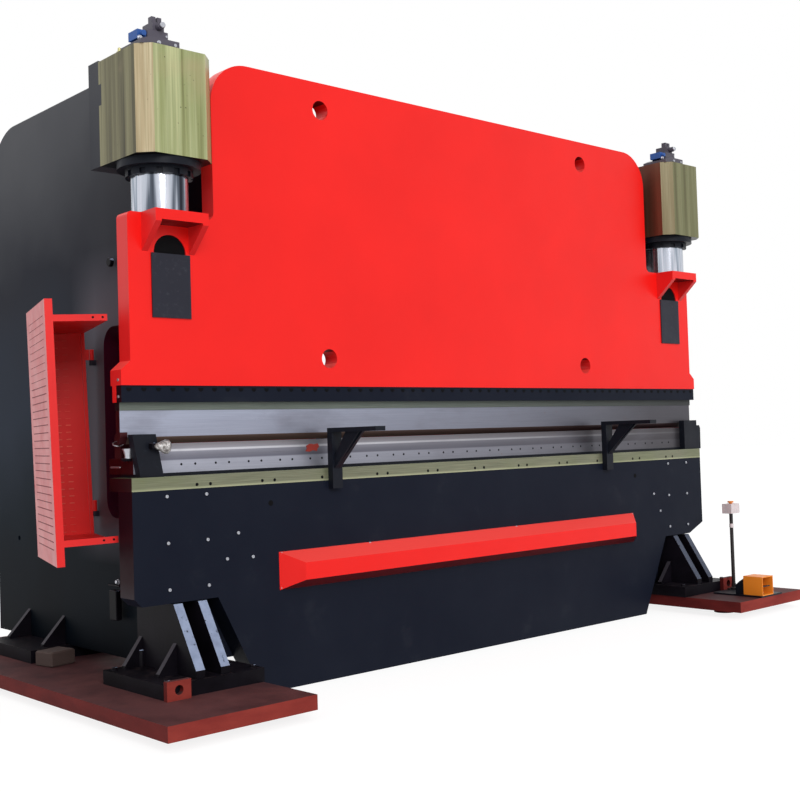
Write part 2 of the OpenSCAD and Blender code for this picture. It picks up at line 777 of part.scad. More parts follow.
// The red light housing along the table's front.
module front_cover() color([0.93, 0.22, 0.20])
    hull() {
        block([-cover_half, -2, cover_z], [cover_half, 0, cover_z + cover_height]);
        block([cover_bevel - cover_half, -cover_depth, cover_z + 53],
              [cover_half - cover_bevel, 1 - cover_depth, cover_z + 53 + cover_face_h]);
    }

// A post on the table's front with a forward arm and a brace.
module support_arm(x) color([0.10, 0.11, 0.13]) {
    top = arm_low + arm_h;
    low = top - arm_t;
    block([x - arm_w / 2, -post_t, arm_low], [x + arm_w / 2, 0, top]);
    block([x - arm_w / 2, -arm_len, low], [x + arm_w / 2, 0, top]);
    along_x(x - 8, x + 8)
        polygon([[1 - post_t, low - 206], [1 - post_t, low - 166],
                 [-240, low + 1], [-285, low + 1]]);
}

// The oil tank between the side frames, high up behind the ram.
module oil_tank() color([0.13, 0.15, 0.20])
    block([-frame_in, tank_y, tank_z], [frame_in, tank_y + tank_len, tank_z + tank_h]);

module rear_beam() color([0.13, 0.15, 0.20])
    block([-frame_in, rear_beam_y, rear_beam_z],
          [frame_in, rear_beam_y + rear_beam_t, rear_beam_z + rear_beam_h]);

// The folded sheet covers that close the machine's rear, side by side between the frames.
module rear_covers() color([0.70, 0.06, 0.07]) {
    low = rear_beam_z + rear_beam_h + 4;
    back = frame_back_y - 60;
    count = 3;
    w = 2 * frame_in / count;
    for (i = [0 : count - 1]) {
        x0 = i * w - frame_in;
        x1 = x0 + w;
        block([x0, back - rear_cover_t, low], [x1, back, rear_cover_top]);
        for (x = [x0, x1 - rear_cover_t])
            block([x, back - rear_cover_fold, low], [x + rear_cover_t, back - 1, rear_cover_top]);
        for (z = [low, rear_cover_top - rear_cover_t])
            block([x0, back - rear_cover_fold, z], [x1, back - 1, z + rear_cover_t]);
    }
}

// The rails of the back gauge, fixed to the bed beam.
module gauge_rails() color([0.20, 0.21, 0.24])
    for (s = [-1, 1]) side(s)
        block([gauge_rail_x - gauge_rail_w / 2, table_t + bed_t, gauge_rail_z],
              [gauge_rail_x + gauge_rail_w / 2, table_t + bed_t + gauge_rail_len, gauge_z]);

// The back gauge: a beam on the rails with a post and a stepped finger for each hand of the sheet.
module back_gauge() color([0.30, 0.31, 0.34]) {
    rest = die_z + 2;
    block([-gauge_half, gauge_y, gauge_z], [gauge_half, gauge_y + gauge_t, gauge_z + gauge_h]);
    for (s = [-1, 1]) side(s) {
        block([finger_x - 40, gauge_y + 10, gauge_z + gauge_h - 1],
              [finger_x + 40, gauge_y + gauge_t - 10, rest - 30]);
        along_x(finger_x - 25, finger_x + 25)
            polygon([[gauge_y + gauge_t - 10, rest - 31], [gauge_y + gauge_t - 10, rest + 20],
                     [gauge_y - finger_len + 60, rest + 20], [gauge_y - finger_len + 60, rest],
                     [gauge_y - finger_len, rest], [gauge_y - finger_len, rest - 31]]);
    }
}

// The floor plate that carries the hood and the post.
module switch_foot() color([0.08, 0.08, 0.09])
    union() {
        block([switch_x, switch_y, foot_z], [switch_x + switch_w, switch_y + switch_len, plate_z]);
        along_x(hood_x + 4, hood_x + hood_w - 4) translate([switch_y + hood_len, plate_z - 1])
            polygon([[0, 0], [switch_body_len, 0], [switch_body_len, 64],
                     [switch_body_len - 30, 92], [0, 118]]);
    }

// The hood over the treadle, open to the front, with the treadle's pin across it.
module switch_hood() color([0.98, 0.55, 0.12])
    translate([hood_x, switch_y, plate_z]) {
        difference() {
            block([0, 0, 0], [hood_w, hood_len, hood_h]);
            block([hood_wall, -1, hood_wall], [hood_w - hood_wall, hood_len - hood_wall, hood_h - hood_wall]);
        }
        translate([hood_wall - 1, pedal_y - switch_y, pedal_z - plate_z]) rotate([0, 90, 0])
            cylinder(d = treadle_pin_d, h = hood_w - 2 * hood_wall + 2);
    }

// The treadle, a plate on a cross bore, standing up at the front.
module foot_treadle() color([0.25, 0.25, 0.27])
    translate([hood_x + hood_w / 2, pedal_y, pedal_z]) rotate([-treadle_rise, 0, 0])
        rotate([0, 90, 0]) translate([0, 0, -50]) linear_extrude(100) difference() {
            union() {
                circle(d = treadle_pin_d + 12);
                translate([-11, -115]) square([7, 115]);
            }
            circle(d = treadle_pin_d + 2 * switch_fit);
        }

module switch_post() color([0.12, 0.08, 0.09])
    translate([post_x, post_y, plate_z]) cylinder(d = post_d, h = post_h);

// The box on the post, with a bore for the button's stem.
module stop_box() color([0.88, 0.88, 0.86])
    difference() {
        translate([post_x, post_y, box_z])
            block([-box_w / 2, -box_len / 2, 0], [box_w / 2, box_len / 2, box_h]);
        translate([post_x, post_y, box_z + box_h - 35]) cylinder(d = stem_d + 2 * switch_fit, h = 36);
    }

// The mushroom button with its stem.
module stop_button() color([0.90, 0.60, 0.12])
    translate([post_x, post_y, box_z + box_h]) {
        translate([0, 0, -25]) cylinder(d = stem_d, h = 25 + button_gap + 1);
        translate([0, 0, button_gap]) cylinder(d = 44, h = 12);
    }

side_frame(-1);  // left_side_frame
side_frame(1);  // right_side_frame
foot_plates(-1);  // left_feet
foot_plates(1);  // right_feet
foot_gussets(-1);  // left_foot_gussets
foot_gussets(1);  // right_foot_gussets
lifting_blocks();
base_plate(-1);  // left_base_plate
base_plate(1);  // right_base_plate
table();
table_rail();
bed_beam();
die_base();
die();
left_end_bracket();
right_end_bracket();
ram();
rod_bracket(-1);  // left_rod_bracket
rod_bracket(1);  // right_rod_bracket
slot_covers();
clamp_bar();
tool_strip();
punch();
cylinder_block(-1);  // left_cylinder
cylinder_block(1);  // right_cylinder
gland(-1);  // left_gland
gland(1);  // right_gland
gland_nuts();
piston_rod(-1);  // left_piston_rod
piston_rod(1);  // right_piston_rod
valve(-cyl_x);  // left_valve
valve(cyl_x);  // right_valve
valve_coils();
ram_guide(-1);  // left_ram_guide
ram_guide(1);  // right_ram_guide
left_guard();
left_guard_hinges();
right_guard();
right_guard_hinges();
front_cover();
support_arm(-arm_left);  // left_support_arm
support_arm(arm_right);  // right_support_arm
oil_tank();
rear_beam();
rear_covers();
gauge_rails();
back_gauge();
switch_foot();
switch_hood();
foot_treadle();
switch_post();
stop_box();
stop_button();
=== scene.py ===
import json
import math
import bpy
from mathutils import Matrix, Vector


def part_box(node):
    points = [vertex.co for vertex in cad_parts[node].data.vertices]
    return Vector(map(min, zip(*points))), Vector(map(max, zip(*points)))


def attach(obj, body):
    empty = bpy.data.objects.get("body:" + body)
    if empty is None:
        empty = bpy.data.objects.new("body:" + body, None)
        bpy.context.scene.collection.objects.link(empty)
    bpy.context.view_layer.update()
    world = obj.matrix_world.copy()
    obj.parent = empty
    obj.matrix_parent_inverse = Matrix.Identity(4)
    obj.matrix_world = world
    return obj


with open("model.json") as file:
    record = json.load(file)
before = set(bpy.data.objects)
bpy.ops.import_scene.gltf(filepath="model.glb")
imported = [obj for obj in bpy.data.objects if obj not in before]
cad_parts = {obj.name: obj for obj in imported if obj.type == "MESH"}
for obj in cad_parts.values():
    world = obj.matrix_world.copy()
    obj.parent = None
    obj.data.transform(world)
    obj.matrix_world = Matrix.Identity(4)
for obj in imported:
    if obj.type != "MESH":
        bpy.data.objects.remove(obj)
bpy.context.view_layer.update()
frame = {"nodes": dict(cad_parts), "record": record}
NODES = frame["nodes"]

# Camera: place, turn and lens of the photograph
CAM_PLACE = (-5.4448, -5.2682, 1.3726)
CAM_YAW, CAM_PITCH, CAM_ROLL = 42.202, 1.951, -1.772
CAM_FOCAL_PX, IMAGE_WIDTH_PX, SENSOR_MM = 1171.385, 800, 36.0

# Places on the machine in metres, as in the CAD
HINGE = Vector((-2.254, 0.870, 0.0))
GUARD_OPEN, GUARD_LEAN = 17.5, 1.6
GUARD_LOW, GUARD_TOP = 0.772, 2.132
GUARD_OUT, GUARD_LEN, GUARD_SHEET = 0.334, 0.705, 0.005
LOUVRES, LOUVRE_PITCH = 31, 0.040
CLAMP_HOLES, CLAMP_HOLE_END = 59, 2.476
POCKET_X, POCKET_RADIUS, POCKET_ARCH_Z, POCKET_LOW_Z = 2.222, 0.0955, 2.365, 2.032
DIE_HOLE_PAIRS, DIE_HOLE_PITCH = 21, 0.2133
RAIL_HOLE_PAIRS, RAIL_HOLE_PITCH = 11, 0.4165

# Studio
FLOOR_HALF, FLOOR_GAP = 60.0, 0.0005
WORLD_LIGHT, WORLD_SEEN = 0.62, 1.0
FLOOR_GLOW, FLOOR_GLOW_SHARE = 1.2, 0.7


def srgb(r, g, b):
    """Linear colour of a screen colour from 0 to 255."""
    def one(c):
        c /= 255
        return c / 12.92 if c <= 0.04045 else ((c + 0.055) / 1.055) ** 2.4
    return (one(r), one(g), one(b), 1.0)


class Graph:
    """A material's nodes, added one after the other."""

    def __init__(self, name, rough, metal=0.0, spec=0.5):
        self.mat = bpy.data.materials.new(name)
        self.mat.use_nodes = True
        self.tree = self.mat.node_tree
        self.tree.nodes.clear()
        out = self.node("ShaderNodeOutputMaterial")
        self.bsdf = self.node("ShaderNodeBsdfPrincipled")
        self.bsdf.inputs["Roughness"].default_value = rough
        self.bsdf.inputs["Metallic"].default_value = metal
        self.bsdf.inputs["Specular IOR Level"].default_value = spec
        self.link(self.bsdf.outputs["BSDF"], out.inputs["Surface"])
        self.coord = self.node("ShaderNodeTexCoord")
        self.place = self.coord.outputs["Object"]

    def node(self, kind):
        return self.tree.nodes.new(kind)

    def link(self, a, b):
        self.tree.links.new(a, b)

    def feed(self, socket, value):
        """Link another node's output to a socket, or set it to a plain value."""
        if isinstance(value, bpy.types.NodeSocket):
            self.link(value, socket)
        else:
            socket.default_value = value

    def stretched(self, stretch):
        m = self.node("ShaderNodeMapping")
        m.inputs["Scale"].default_value = stretch
        self.link(self.place, m.inputs["Vector"])
        return m.outputs["Vector"]

    def noise(self, scale, detail=4.0, stretch=(1, 1, 1), rough=0.55):
        n = self.node("ShaderNodeTexNoise")
        n.inputs["Scale"].default_value = scale
        n.inputs["Detail"].default_value = detail
        n.inputs["Roughness"].default_value = rough
        self.link(self.stretched(stretch), n.inputs["Vector"])
        return n.outputs["Fac"]

    def axis(self, name):
        s = self.node("ShaderNodeSeparateXYZ")
        self.link(self.place, s.inputs["Vector"])
        return s.outputs[name]

    def normal(self, name):
        """One part of the face's direction, as it stands at rest."""
        s = self.node("ShaderNodeSeparateXYZ")
        self.link(self.coord.outputs["Normal"], s.inputs["Vector"])
        return s.outputs[name]

    def facing(self, name, low, high):
        """1 where that part of the direction is between low and high."""
        n = self.normal(name)
        return self.math("MULTIPLY", self.math("GREATER_THAN", n, low), self.math("LESS_THAN", n, high))

    def span(self, value, low, high, to_low=0.0, to_high=1.0):
        """A value from low to high, brought to another range and held there."""
        m = self.node("ShaderNodeMapRange")
        for socket, v in zip(("Value", "From Min", "From Max", "To Min", "To Max"),
                             (value, low, high, to_low, to_high)):
            self.feed(m.inputs[socket], v)
        return m.outputs["Result"]

    def math(self, kind, a, b=0.0):
        m = self.node("ShaderNodeMath")
        m.operation = kind
        self.feed(m.inputs[0], a)
        self.feed(m.inputs[1], b)
        return m.outputs[0]

    def mix(self, share, a, b):
        m = self.node("ShaderNodeMix")
        m.data_type = "RGBA"
        self.feed(m.inputs["Factor"], share)
        self.feed(m.inputs["A"], a)
        self.feed(m.inputs["B"], b)
        return m.outputs["Result"]

    def ramp(self, value, stops):
        r = self.node("ShaderNodeValToRGB")
        while len(r.color_ramp.elements) < len(stops):
            r.color_ramp.elements.new(0.5)
        for element, (at, colour) in zip(r.color_ramp.elements, stops):
            element.position = at
            element.color = colour
        self.feed(r.inputs["Fac"], value)
        return r.outputs["Color"]

    def bump(self, height, strength, distance=0.001):
        b = self.node("ShaderNodeBump")
        b.inputs["Strength"].default_value = strength
        b.inputs["Distance"].default_value = distance
        self.feed(b.inputs["Height"], height)
        self.link(b.outputs["Normal"], self.bsdf.inputs["Normal"])

    def colour(self, value):
        self.feed(self.bsdf.inputs["Base Color"], value)

    def rough(self, value):
        self.feed(self.bsdf.inputs["Roughness"], value)


def shade(colour, k):
    """The colour, lighter or darker by a factor."""
    return tuple(min(1.0, c * k) for c in colour[:3]) + (1.0,)


def paint(name, colour, rough=0.35, spec=0.4, vary=0.12, orange=0.05, dust=None):
    """Paint with soft patches, fine orange peel and a little dust."""
    g = Graph(name, rough, spec=spec)
    patches = g.span(g.noise(1.7, 5.0), 0.3, 0.7)
    col = g.mix(patches, shade(colour, 1 - vary), shade(colour, 1 + vary))
    if dust:
        specks = g.span(g.noise(38.0, 6.0, rough=0.7), 0.56, 0.8, 0.0, 0.5)
        col = g.mix(specks, col, dust)
    g.colour(col)
    g.rough(g.span(g.noise(9.0, 5.0), 0.3, 0.7, rough * 0.85, min(1.0, rough * 1.2)))
    g.bump(g.noise(260.0, 2.0), orange)
    return g.mat


def steel(name, colour, rough=0.35, metal=0.75, stretch=(1, 12, 40), vary=0.15, brush=0.12):
    """Ground or brushed steel, with its grain along the short side of the stretch."""
    g = Graph(name, rough, metal=metal)
    grain = g.noise(14.0, 8.0, stretch, 0.7)
    cloud = g.span(g.noise(1.2, 3.0), 0.3, 0.7)
    col = g.mix(g.span(grain, 0.3, 0.7), shade(colour, 1 - vary), shade(colour, 1 + vary))
    g.colour(g.mix(g.math("MULTIPLY", cloud, 0.35), col, shade(colour, 0.72)))
    g.rough(g.span(grain, 0.3, 0.7, rough * 0.8, rough * 1.25))
    g.bump(grain, brush)
    return g.mat


def frame_grey():
    """Satin grey with painted light and shade: paler high up and darkening towards the floor, a painted paler band
    beside the throat, and painted maroon shade with a red reflection inside it.
    """
    g = Graph("frame_grey", 0.5, spec=0.03)
    # Painted light and shade by height: paler high up, darkening towards the floor.
    z = g.math("ADD", g.axis("Z"), g.span(g.noise(0.9, 3.0), 0.2, 0.8, -0.3, 0.3))
    tone = g.ramp(g.span(z, 0.2, 3.5), [(0.0, srgb(5, 7, 12)), (0.2, srgb(18, 27, 36)),
                                        (0.42, srgb(42, 49, 61)), (0.66, srgb(40, 42, 50)),
                                        (1.0, srgb(88, 89, 93))])
    # Painted light: a paler band on the frame beside the throat.
    near = g.math("MULTIPLY", g.span(g.axis("Y"), 1.15, 0.86), g.span(g.axis("Y"), 0.35, 0.5))
    high = g.math("MULTIPLY", g.span(g.axis("Z"), 0.7, 0.95), g.span(g.axis("Z"), 2.5, 2.1))
    tone = g.mix(g.math("MULTIPLY", g.math("MULTIPLY", near, high), 0.9), tone, srgb(96, 95, 104))
    specks = g.span(g.noise(60.0, 6.0, rough=0.75), 0.62, 0.85, 0.0, 0.25)
    tone = g.mix(specks, tone, srgb(96, 98, 104))
    # Painted maroon shade with a red reflection on the faces inside the throat.
    inside = g.facing("X", -0.9, 0.9)
    reach = g.math("MULTIPLY", g.math("LESS_THAN", g.axis("Y"), 0.9), g.span(g.axis("Z"), 2.3, 2.1))
    g.colour(g.mix(g.math("MULTIPLY", inside, reach), tone, srgb(58, 14, 34)))
    g.bump(g.noise(240.0, 2.0), 0.06)
    return g.mat


def ram_red():
    """Gloss red, with a painted highlight on faces turned up, painted shade where it faces down and on its right end,
    and a darker painted tone on its left end.
    """
    g = Graph("ram_red", 0.34, spec=0.25)
    patches = g.span(g.noise(1.3, 4.0), 0.3, 0.7)
    col = g.mix(patches, srgb(238, 24, 20), srgb(248, 28, 23))
    # Painted highlight on faces turned up; painted shade on faces turned down and on the right end; a darker painted
    # tone on the left end.
    col = g.mix(g.math("GREATER_THAN", g.normal("Z"), 0.3), col, srgb(255, 74, 68))
    col = g.mix(g.facing("Z", -0.8, -0.4), col, srgb(214, 18, 18))
    col = g.mix(g.math("LESS_THAN", g.normal("Z"), -0.8), col, srgb(96, 6, 12))
    col = g.mix(g.math("LESS_THAN", g.normal("X"), -0.9), col, srgb(226, 36, 36))
    g.colour(g.mix(g.math("GREATER_THAN", g.normal("X"), 0.9), col, srgb(150, 10, 14)))
    g.rough(g.span(g.noise(9.0, 5.0), 0.3, 0.7, 0.29, 0.4))
    g.bump(g.noise(260.0, 2.0), 0.04)
    return g.mat


def guard_red():
    """Sheet red, with a painted pale sheen, the reflection of the white surroundings, on the panel that faces out."""
    g = Graph("guard_red", 0.42, spec=0.3)
    patches = g.span(g.noise(2.6, 5.0), 0.3, 0.7)
    col = g.mix(patches, srgb(216, 24, 24), srgb(230, 32, 30))
    # Painted reflection: the panel facing out takes a pale pink sheen of the white surroundings.
    cloud = g.span(g.noise(5.0, 6.0, rough=0.65), 0.35, 0.65)
    white_sheen = g.mix(cloud, srgb(200, 100, 104), srgb(214, 118, 120))
    out = g.math("LESS_THAN", g.normal("X"), -0.8)
    g.colour(g.mix(out, col, white_sheen))
    g.rough(g.span(g.noise(9.0, 5.0), 0.3, 0.7, 0.36, 0.5))
    g.bump(g.noise(260.0, 2.0), 0.06)
    return g.mat


def table_blue():
    """Blue-black paint, with dull patches; the ends that face left carry painted shade with a red reflection, maroon
    at the top and greyer lower down.
    """
    g = Graph("table_blue", 0.4, spec=0.05)
    patches = g.span(g.noise(2.0, 5.0), 0.3, 0.7)
    col = g.mix(patches, srgb(21, 25, 38), srgb(27, 31, 43))
    dull = g.span(g.noise(4.0, 5.0, rough=0.6), 0.6, 0.72, 0.0, 0.4)
    col = g.mix(dull, col, srgb(40, 43, 52))
    # Painted shade with a red reflection on the left-facing ends, maroon high up, greyer low down.
    low = g.span(g.axis("Z"), 0.55, 0.68)
    end = g.mix(low, srgb(56, 50, 55), srgb(34, 9, 17))
    g.colour(g.mix(g.math("LESS_THAN", g.normal("X"), -0.9), col, end))
    g.rough(g.span(g.noise(9.0, 5.0), 0.3, 0.7, 0.34, 0.46))
    g.bump(g.noise(260.0, 2.0), 0.06)
    return g.mat


def foot_black():
    """Black paint, ground bare on the sloping front edges of the left gussets."""
    g = Graph("foot_black", 0.46, spec=0.08)
    patches = g.span(g.noise(4.0, 6.0, rough=0.7), 0.35, 0.65)
    paint_col = g.mix(patches, srgb(9, 7, 12), srgb(21, 18, 25))
    dust = g.span(g.noise(22.0, 7.0, rough=0.75), 0.52, 0.8, 0.0, 0.5)
    dust = g.math("MULTIPLY", dust, g.math("GREATER_THAN", g.normal("Z"), 0.9))
    paint_col = g.mix(dust, paint_col, srgb(92, 78, 78))
    front = g.math("LESS_THAN", g.normal("Y"), -0.6)
    slope = g.math("GREATER_THAN", g.normal("Z"), 0.3)
    left = g.math("LESS_THAN", g.normal("X"), -0.3)
    chips = g.span(g.noise(30.0, 6.0, rough=0.7), 0.34, 0.38)
    bare = g.math("MULTIPLY", g.math("MULTIPLY", front, slope), chips)
    worn = g.span(g.axis("X"), -1.0, 1.0, 1.0, 0.25)
    steel_col = g.mix(g.noise(18.0, 6.0), srgb(112, 122, 148), srgb(166, 180, 208))
    side = g.math("MULTIPLY", left, slope)
    paint_col = g.mix(g.math("MULTIPLY", side, 0.6), paint_col, srgb(78, 74, 82))
    g.colour(g.mix(g.math("MULTIPLY", bare, worn), paint_col, steel_col))
    g.bump(g.noise(90.0, 5.0), 0.12)
    return g.mat


def rusty_plate():
    """Brown scale with stains and dust on top and a redder flame-cut edge, darker where it faces left as painted
    shade.
    """
    g = Graph("rusty_plate", 0.65, spec=0.1)
    top = g.math("GREATER_THAN", g.normal("Z"), 0.5)
    stain = g.span(g.noise(2.6, 7.0, rough=0.65), 0.36, 0.64)
    top_col = g.mix(stain, srgb(66, 40, 42), srgb(98, 60, 60))
    spill = g.span(g.noise(1.3, 4.0), 0.55, 0.64, 0.0, 0.6)
    top_col = g.mix(spill, top_col, srgb(46, 34, 40))
    top_col = g.mix(g.span(g.noise(55.0, 6.0, rough=0.8), 0.66, 0.74, 0.0, 0.5), top_col, srgb(150, 128, 118))
    streak = g.noise(3.0, 6.0, (1, 1, 3), 0.6)
    front_col = g.mix(g.span(streak, 0.35, 0.65), srgb(124, 44, 40), srgb(146, 58, 50))
    # The left-facing edge is a darker copy of the same cut edge: painted shade.
    side_col = g.mix(g.span(streak, 0.35, 0.65), srgb(84, 26, 26), srgb(106, 36, 34))
    edge_col = g.mix(g.math("LESS_THAN", g.normal("X"), -0.7), front_col, side_col)
    chips = g.span(g.noise(42.0, 5.0, (1, 1, 0.5), 0.8), 0.64, 0.7, 0.0, 0.5)
    edge_col = g.mix(chips, edge_col, srgb(60, 30, 30))
    g.colour(g.mix(top, edge_col, top_col))
    g.bump(g.noise(45.0, 6.0), 0.3, 0.002)
    return g.mat


def machined_olive(name, rough=0.36):
    """Milled steel with olive-yellow passivation, in upright bands, with painted light and shade by side: a painted
    highlight on the chamfers, darker sides facing left, painted shade underneath and on the right cylinder, whose
    left-facing side has a painted red reflection.
    """
    g = Graph(name, rough, metal=0.3, spec=0.3)
    bands = g.noise(8.0, 3.0, (1.8, 1.8, 0.05), 0.6)
    lines = g.noise(60.0, 4.0, (2.0, 2.0, 0.03), 0.7)
    tone = g.span(bands, 0.34, 0.66)
    front = g.ramp(tone, [(0.0, srgb(108, 108, 70)), (0.35, srgb(150, 156, 106)), (0.65, srgb(170, 176, 130)),
                          (1.0, srgb(200, 202, 152))])
    side = g.ramp(tone, [(0.0, srgb(62, 58, 40)), (0.45, srgb(108, 104, 76)), (1.0, srgb(136, 132, 100))])
    bevel = g.ramp(tone, [(0.0, srgb(150, 130, 100)), (0.5, srgb(182, 164, 130)), (1.0, srgb(232, 222, 186))])
    # Painted light: the chamfers are brightest and the sides facing left darker.
    col = g.mix(g.facing("X", -0.9, -0.3), front, bevel)
    col = g.mix(g.math("LESS_THAN", g.normal("X"), -0.9), col, side)
    col = g.mix(g.span(lines, 0.45, 0.75, 0.0, 0.35), col, srgb(98, 92, 60))
    blush = g.span(g.noise(2.3, 4.0), 0.58, 0.78, 0.0, 0.35)
    col = g.mix(blush, col, srgb(190, 160, 130))
    # Painted shade on the right cylinder, with a painted red reflection on its left-facing side.
    far = g.mix(g.math("LESS_THAN", g.normal("X"), -0.9), srgb(92, 88, 60), srgb(92, 26, 24))
    col = g.mix(g.math("MULTIPLY", g.math("GREATER_THAN", g.axis("X"), 0.0), 0.75), col, far)
    # Painted shade on faces turned down.
    col = g.mix(g.math("LESS_THAN", g.normal("Z"), -0.5), col, srgb(12, 10, 12))
    pits = g.span(g.noise(70.0, 3.0, rough=0.4), 0.74, 0.78)
    g.colour(g.mix(pits, col, srgb(60, 52, 40)))
    g.rough(g.span(lines, 0.3, 0.7, rough * 0.8, rough * 1.3))
    g.bump(lines, 0.15)
    return g.mat


def rail_olive():
    """Zinc-plated bar with long grain, pale along its lower edge; its left end is painted maroon, shade with a red
    reflection.
    """
    g = Graph("zinc_olive", 0.4, metal=0.4, spec=0.3)
    grain = g.noise(9.0, 6.0, (0.4, 6, 30), 0.65)
    col = g.mix(g.span(grain, 0.3, 0.7), srgb(98, 100, 82), srgb(140, 142, 118))
    low = g.span(g.axis("Z"), 1.134, 1.146, 0.6, 0.0)
    col = g.mix(low, col, srgb(196, 198, 160))
    green = g.span(g.noise(2.5, 4.0, (0.6, 1, 1)), 0.5, 0.7, 0.0, 0.5)
    col = g.mix(green, col, srgb(110, 120, 78))
    # Painted maroon shade with a red reflection on the left end.
    g.colour(g.mix(g.math("LESS_THAN", g.normal("X"), -0.9), col, srgb(44, 12, 18)))
    g.bump(grain, 0.1)
    return g.mat


def tool_steel():
    """Ground steel in long bands with a painted highlight line and rust specks, darker to the right, with painted
    brown shade on its underside and painted maroon shade with a red reflection on its left end.
    """
    g = Graph("tool_steel", 0.34, metal=0.6)
    grain = g.noise(12.0, 8.0, (0.25, 8, 34), 0.7)
    z = g.span(g.axis("Z"), 1.218, 1.545)
    # The near-white band in this ramp is a painted highlight line along the die.
    tone = g.ramp(z, [(0.0, srgb(170, 172, 186)), (0.19, srgb(176, 178, 192)), (0.21, srgb(112, 112, 126)),
                      (0.27, srgb(126, 126, 138)), (0.335, srgb(150, 150, 162)), (0.345, srgb(226, 226, 234)),
                      (0.37, srgb(222, 222, 230)), (0.38, srgb(160, 158, 166)), (0.46, srgb(136, 130, 134)),
                      (0.50, srgb(160, 164, 182)), (1.0, srgb(176, 182, 202))])
    col = g.mix(g.span(grain, 0.3, 0.7, 0.0, 0.3), tone, srgb(88, 90, 104))
    # Darker towards the right.
    darker_right = g.span(g.axis("X"), -2.2, 2.0, 0.0, 0.92)
    col = g.mix(darker_right, col, srgb(58, 54, 58))
    patch = g.span(g.noise(2.2, 5.0, (0.7, 1, 2)), 0.5, 0.66, 0.0, 0.4)
    col = g.mix(patch, col, srgb(104, 102, 112))
    rust = g.span(g.noise(16.0, 6.0, (1, 1, 1), 0.7), 0.66, 0.74, 0.0, 0.5)
    col = g.mix(rust, col, srgb(112, 84, 66))
    # Painted brown shade on faces turned down.
    below = g.mix(g.span(g.axis("X"), -2.4, 1.5), srgb(104, 84, 74), srgb(50, 30, 32))
    col = g.mix(g.math("LESS_THAN", g.normal("Z"), -0.3), col, below)
    # Painted maroon shade with a red reflection on the left end faces, and on a painted notch at the punch's left
    # end.
    horn = g.math("MULTIPLY", g.math("LESS_THAN", g.axis("X"), -2.468), g.math("LESS_THAN", g.axis("Z"), 1.434))
    horn = g.math("MULTIPLY", horn, g.math("GREATER_THAN", g.axis("Z"), 1.372))
    end = g.math("MAXIMUM", g.math("LESS_THAN", g.normal("X"), -0.9), horn)
    g.colour(g.mix(end, col, srgb(66, 20, 26)))
    g.rough(g.span(grain, 0.3, 0.7, 0.26, 0.46))
    g.bump(grain, 0.1)
    return g.mat


def strip_green():
    """Grey-green bar with long grain, darker to the right; its left end is painted maroon, shade with a red
    reflection.
    """
    g = Graph("strip_green", 0.45, metal=0.3, spec=0.2)
    grain = g.noise(14.0, 7.0, (0.3, 6, 20), 0.7)
    col = g.mix(g.span(grain, 0.3, 0.7), srgb(84, 92, 86), srgb(118, 126, 118))
    col = g.mix(g.span(g.axis("X"), -1.0, 2.4, 0.0, 0.8), col, srgb(36, 35, 42))
    # Painted maroon shade with a red reflection on the left end.
    g.colour(g.mix(g.math("LESS_THAN", g.normal("X"), -0.9), col, srgb(30, 12, 18)))
    g.bump(grain, 0.1)
    return g.mat


def rod_chrome():
    """Hard chrome with dark and bright upright streaks, painted reflections of its surroundings."""
    g = Graph("rod_chrome", 0.14, metal=0.9)
    streaks = g.noise(9.0, 2.0, (1, 1, 0.04), 0.5)
    fine = g.noise(26.0, 2.0, (1, 1, 0.04), 0.5)
    both = g.math("ADD", g.math("MULTIPLY", streaks, 0.7), g.math("MULTIPLY", fine, 0.3))
    g.colour(g.ramp(g.span(both, 0.32, 0.68), [(0.0, srgb(40, 42, 52)), (0.22, srgb(96, 104, 116)),
                                                (0.36, srgb(184, 190, 202)), (0.6, srgb(212, 215, 226)),
                                                (0.74, srgb(132, 146, 160)), (1.0, srgb(228, 230, 240))]))
    g.bump(g.noise(120.0, 3.0, (1, 1, 6)), 0.02)
    return g.mat


def plastic(name, colour, rough, bump=0.05):
    """Moulded plastic with a fine grain."""
    g = Graph(name, rough, spec=0.45)
    g.colour(g.mix(g.span(g.noise(30.0, 4.0), 0.3, 0.7), shade(colour, 0.92), shade(colour, 1.06)))
    g.bump(g.noise(500.0, 2.0), bump)
    return g.mat


def tread_rubber():
    """Black rubber with cross ribs."""
    g = Graph("tread_rubber", 0.75, spec=0.3)
    ribs = g.math("SINE", g.math("MULTIPLY", g.axis("Y"), 900.0))
    g.colour(g.mix(g.span(ribs, -1.0, 1.0), srgb(26, 26, 28), srgb(60, 60, 62)))
    g.bump(ribs, 0.4, 0.002)
    return g.mat


def dark_hole():
    """Painted shade for the dark inside of a hole."""
    g = Graph("dark_hole", 0.8, spec=0.1)
    g.colour(g.mix(g.noise(50.0), srgb(6, 6, 8), srgb(16, 15, 18)))
    return g.mat


def wrap_silver():
    """Crumpled silvery wrapping, with painted highlights and shade following its folds."""
    g = Graph("wrap_silver", 0.35, metal=0.3)
    folds = g.noise(60.0, 3.0, rough=0.6)
    g.colour(g.ramp(g.span(folds, 0.3, 0.7), [(0.0, srgb(84, 78, 76)), (0.5, srgb(150, 146, 144)),
                                               (1.0, srgb(222, 220, 220))]))
    g.bump(folds, 0.8, 0.006)
    return g.mat


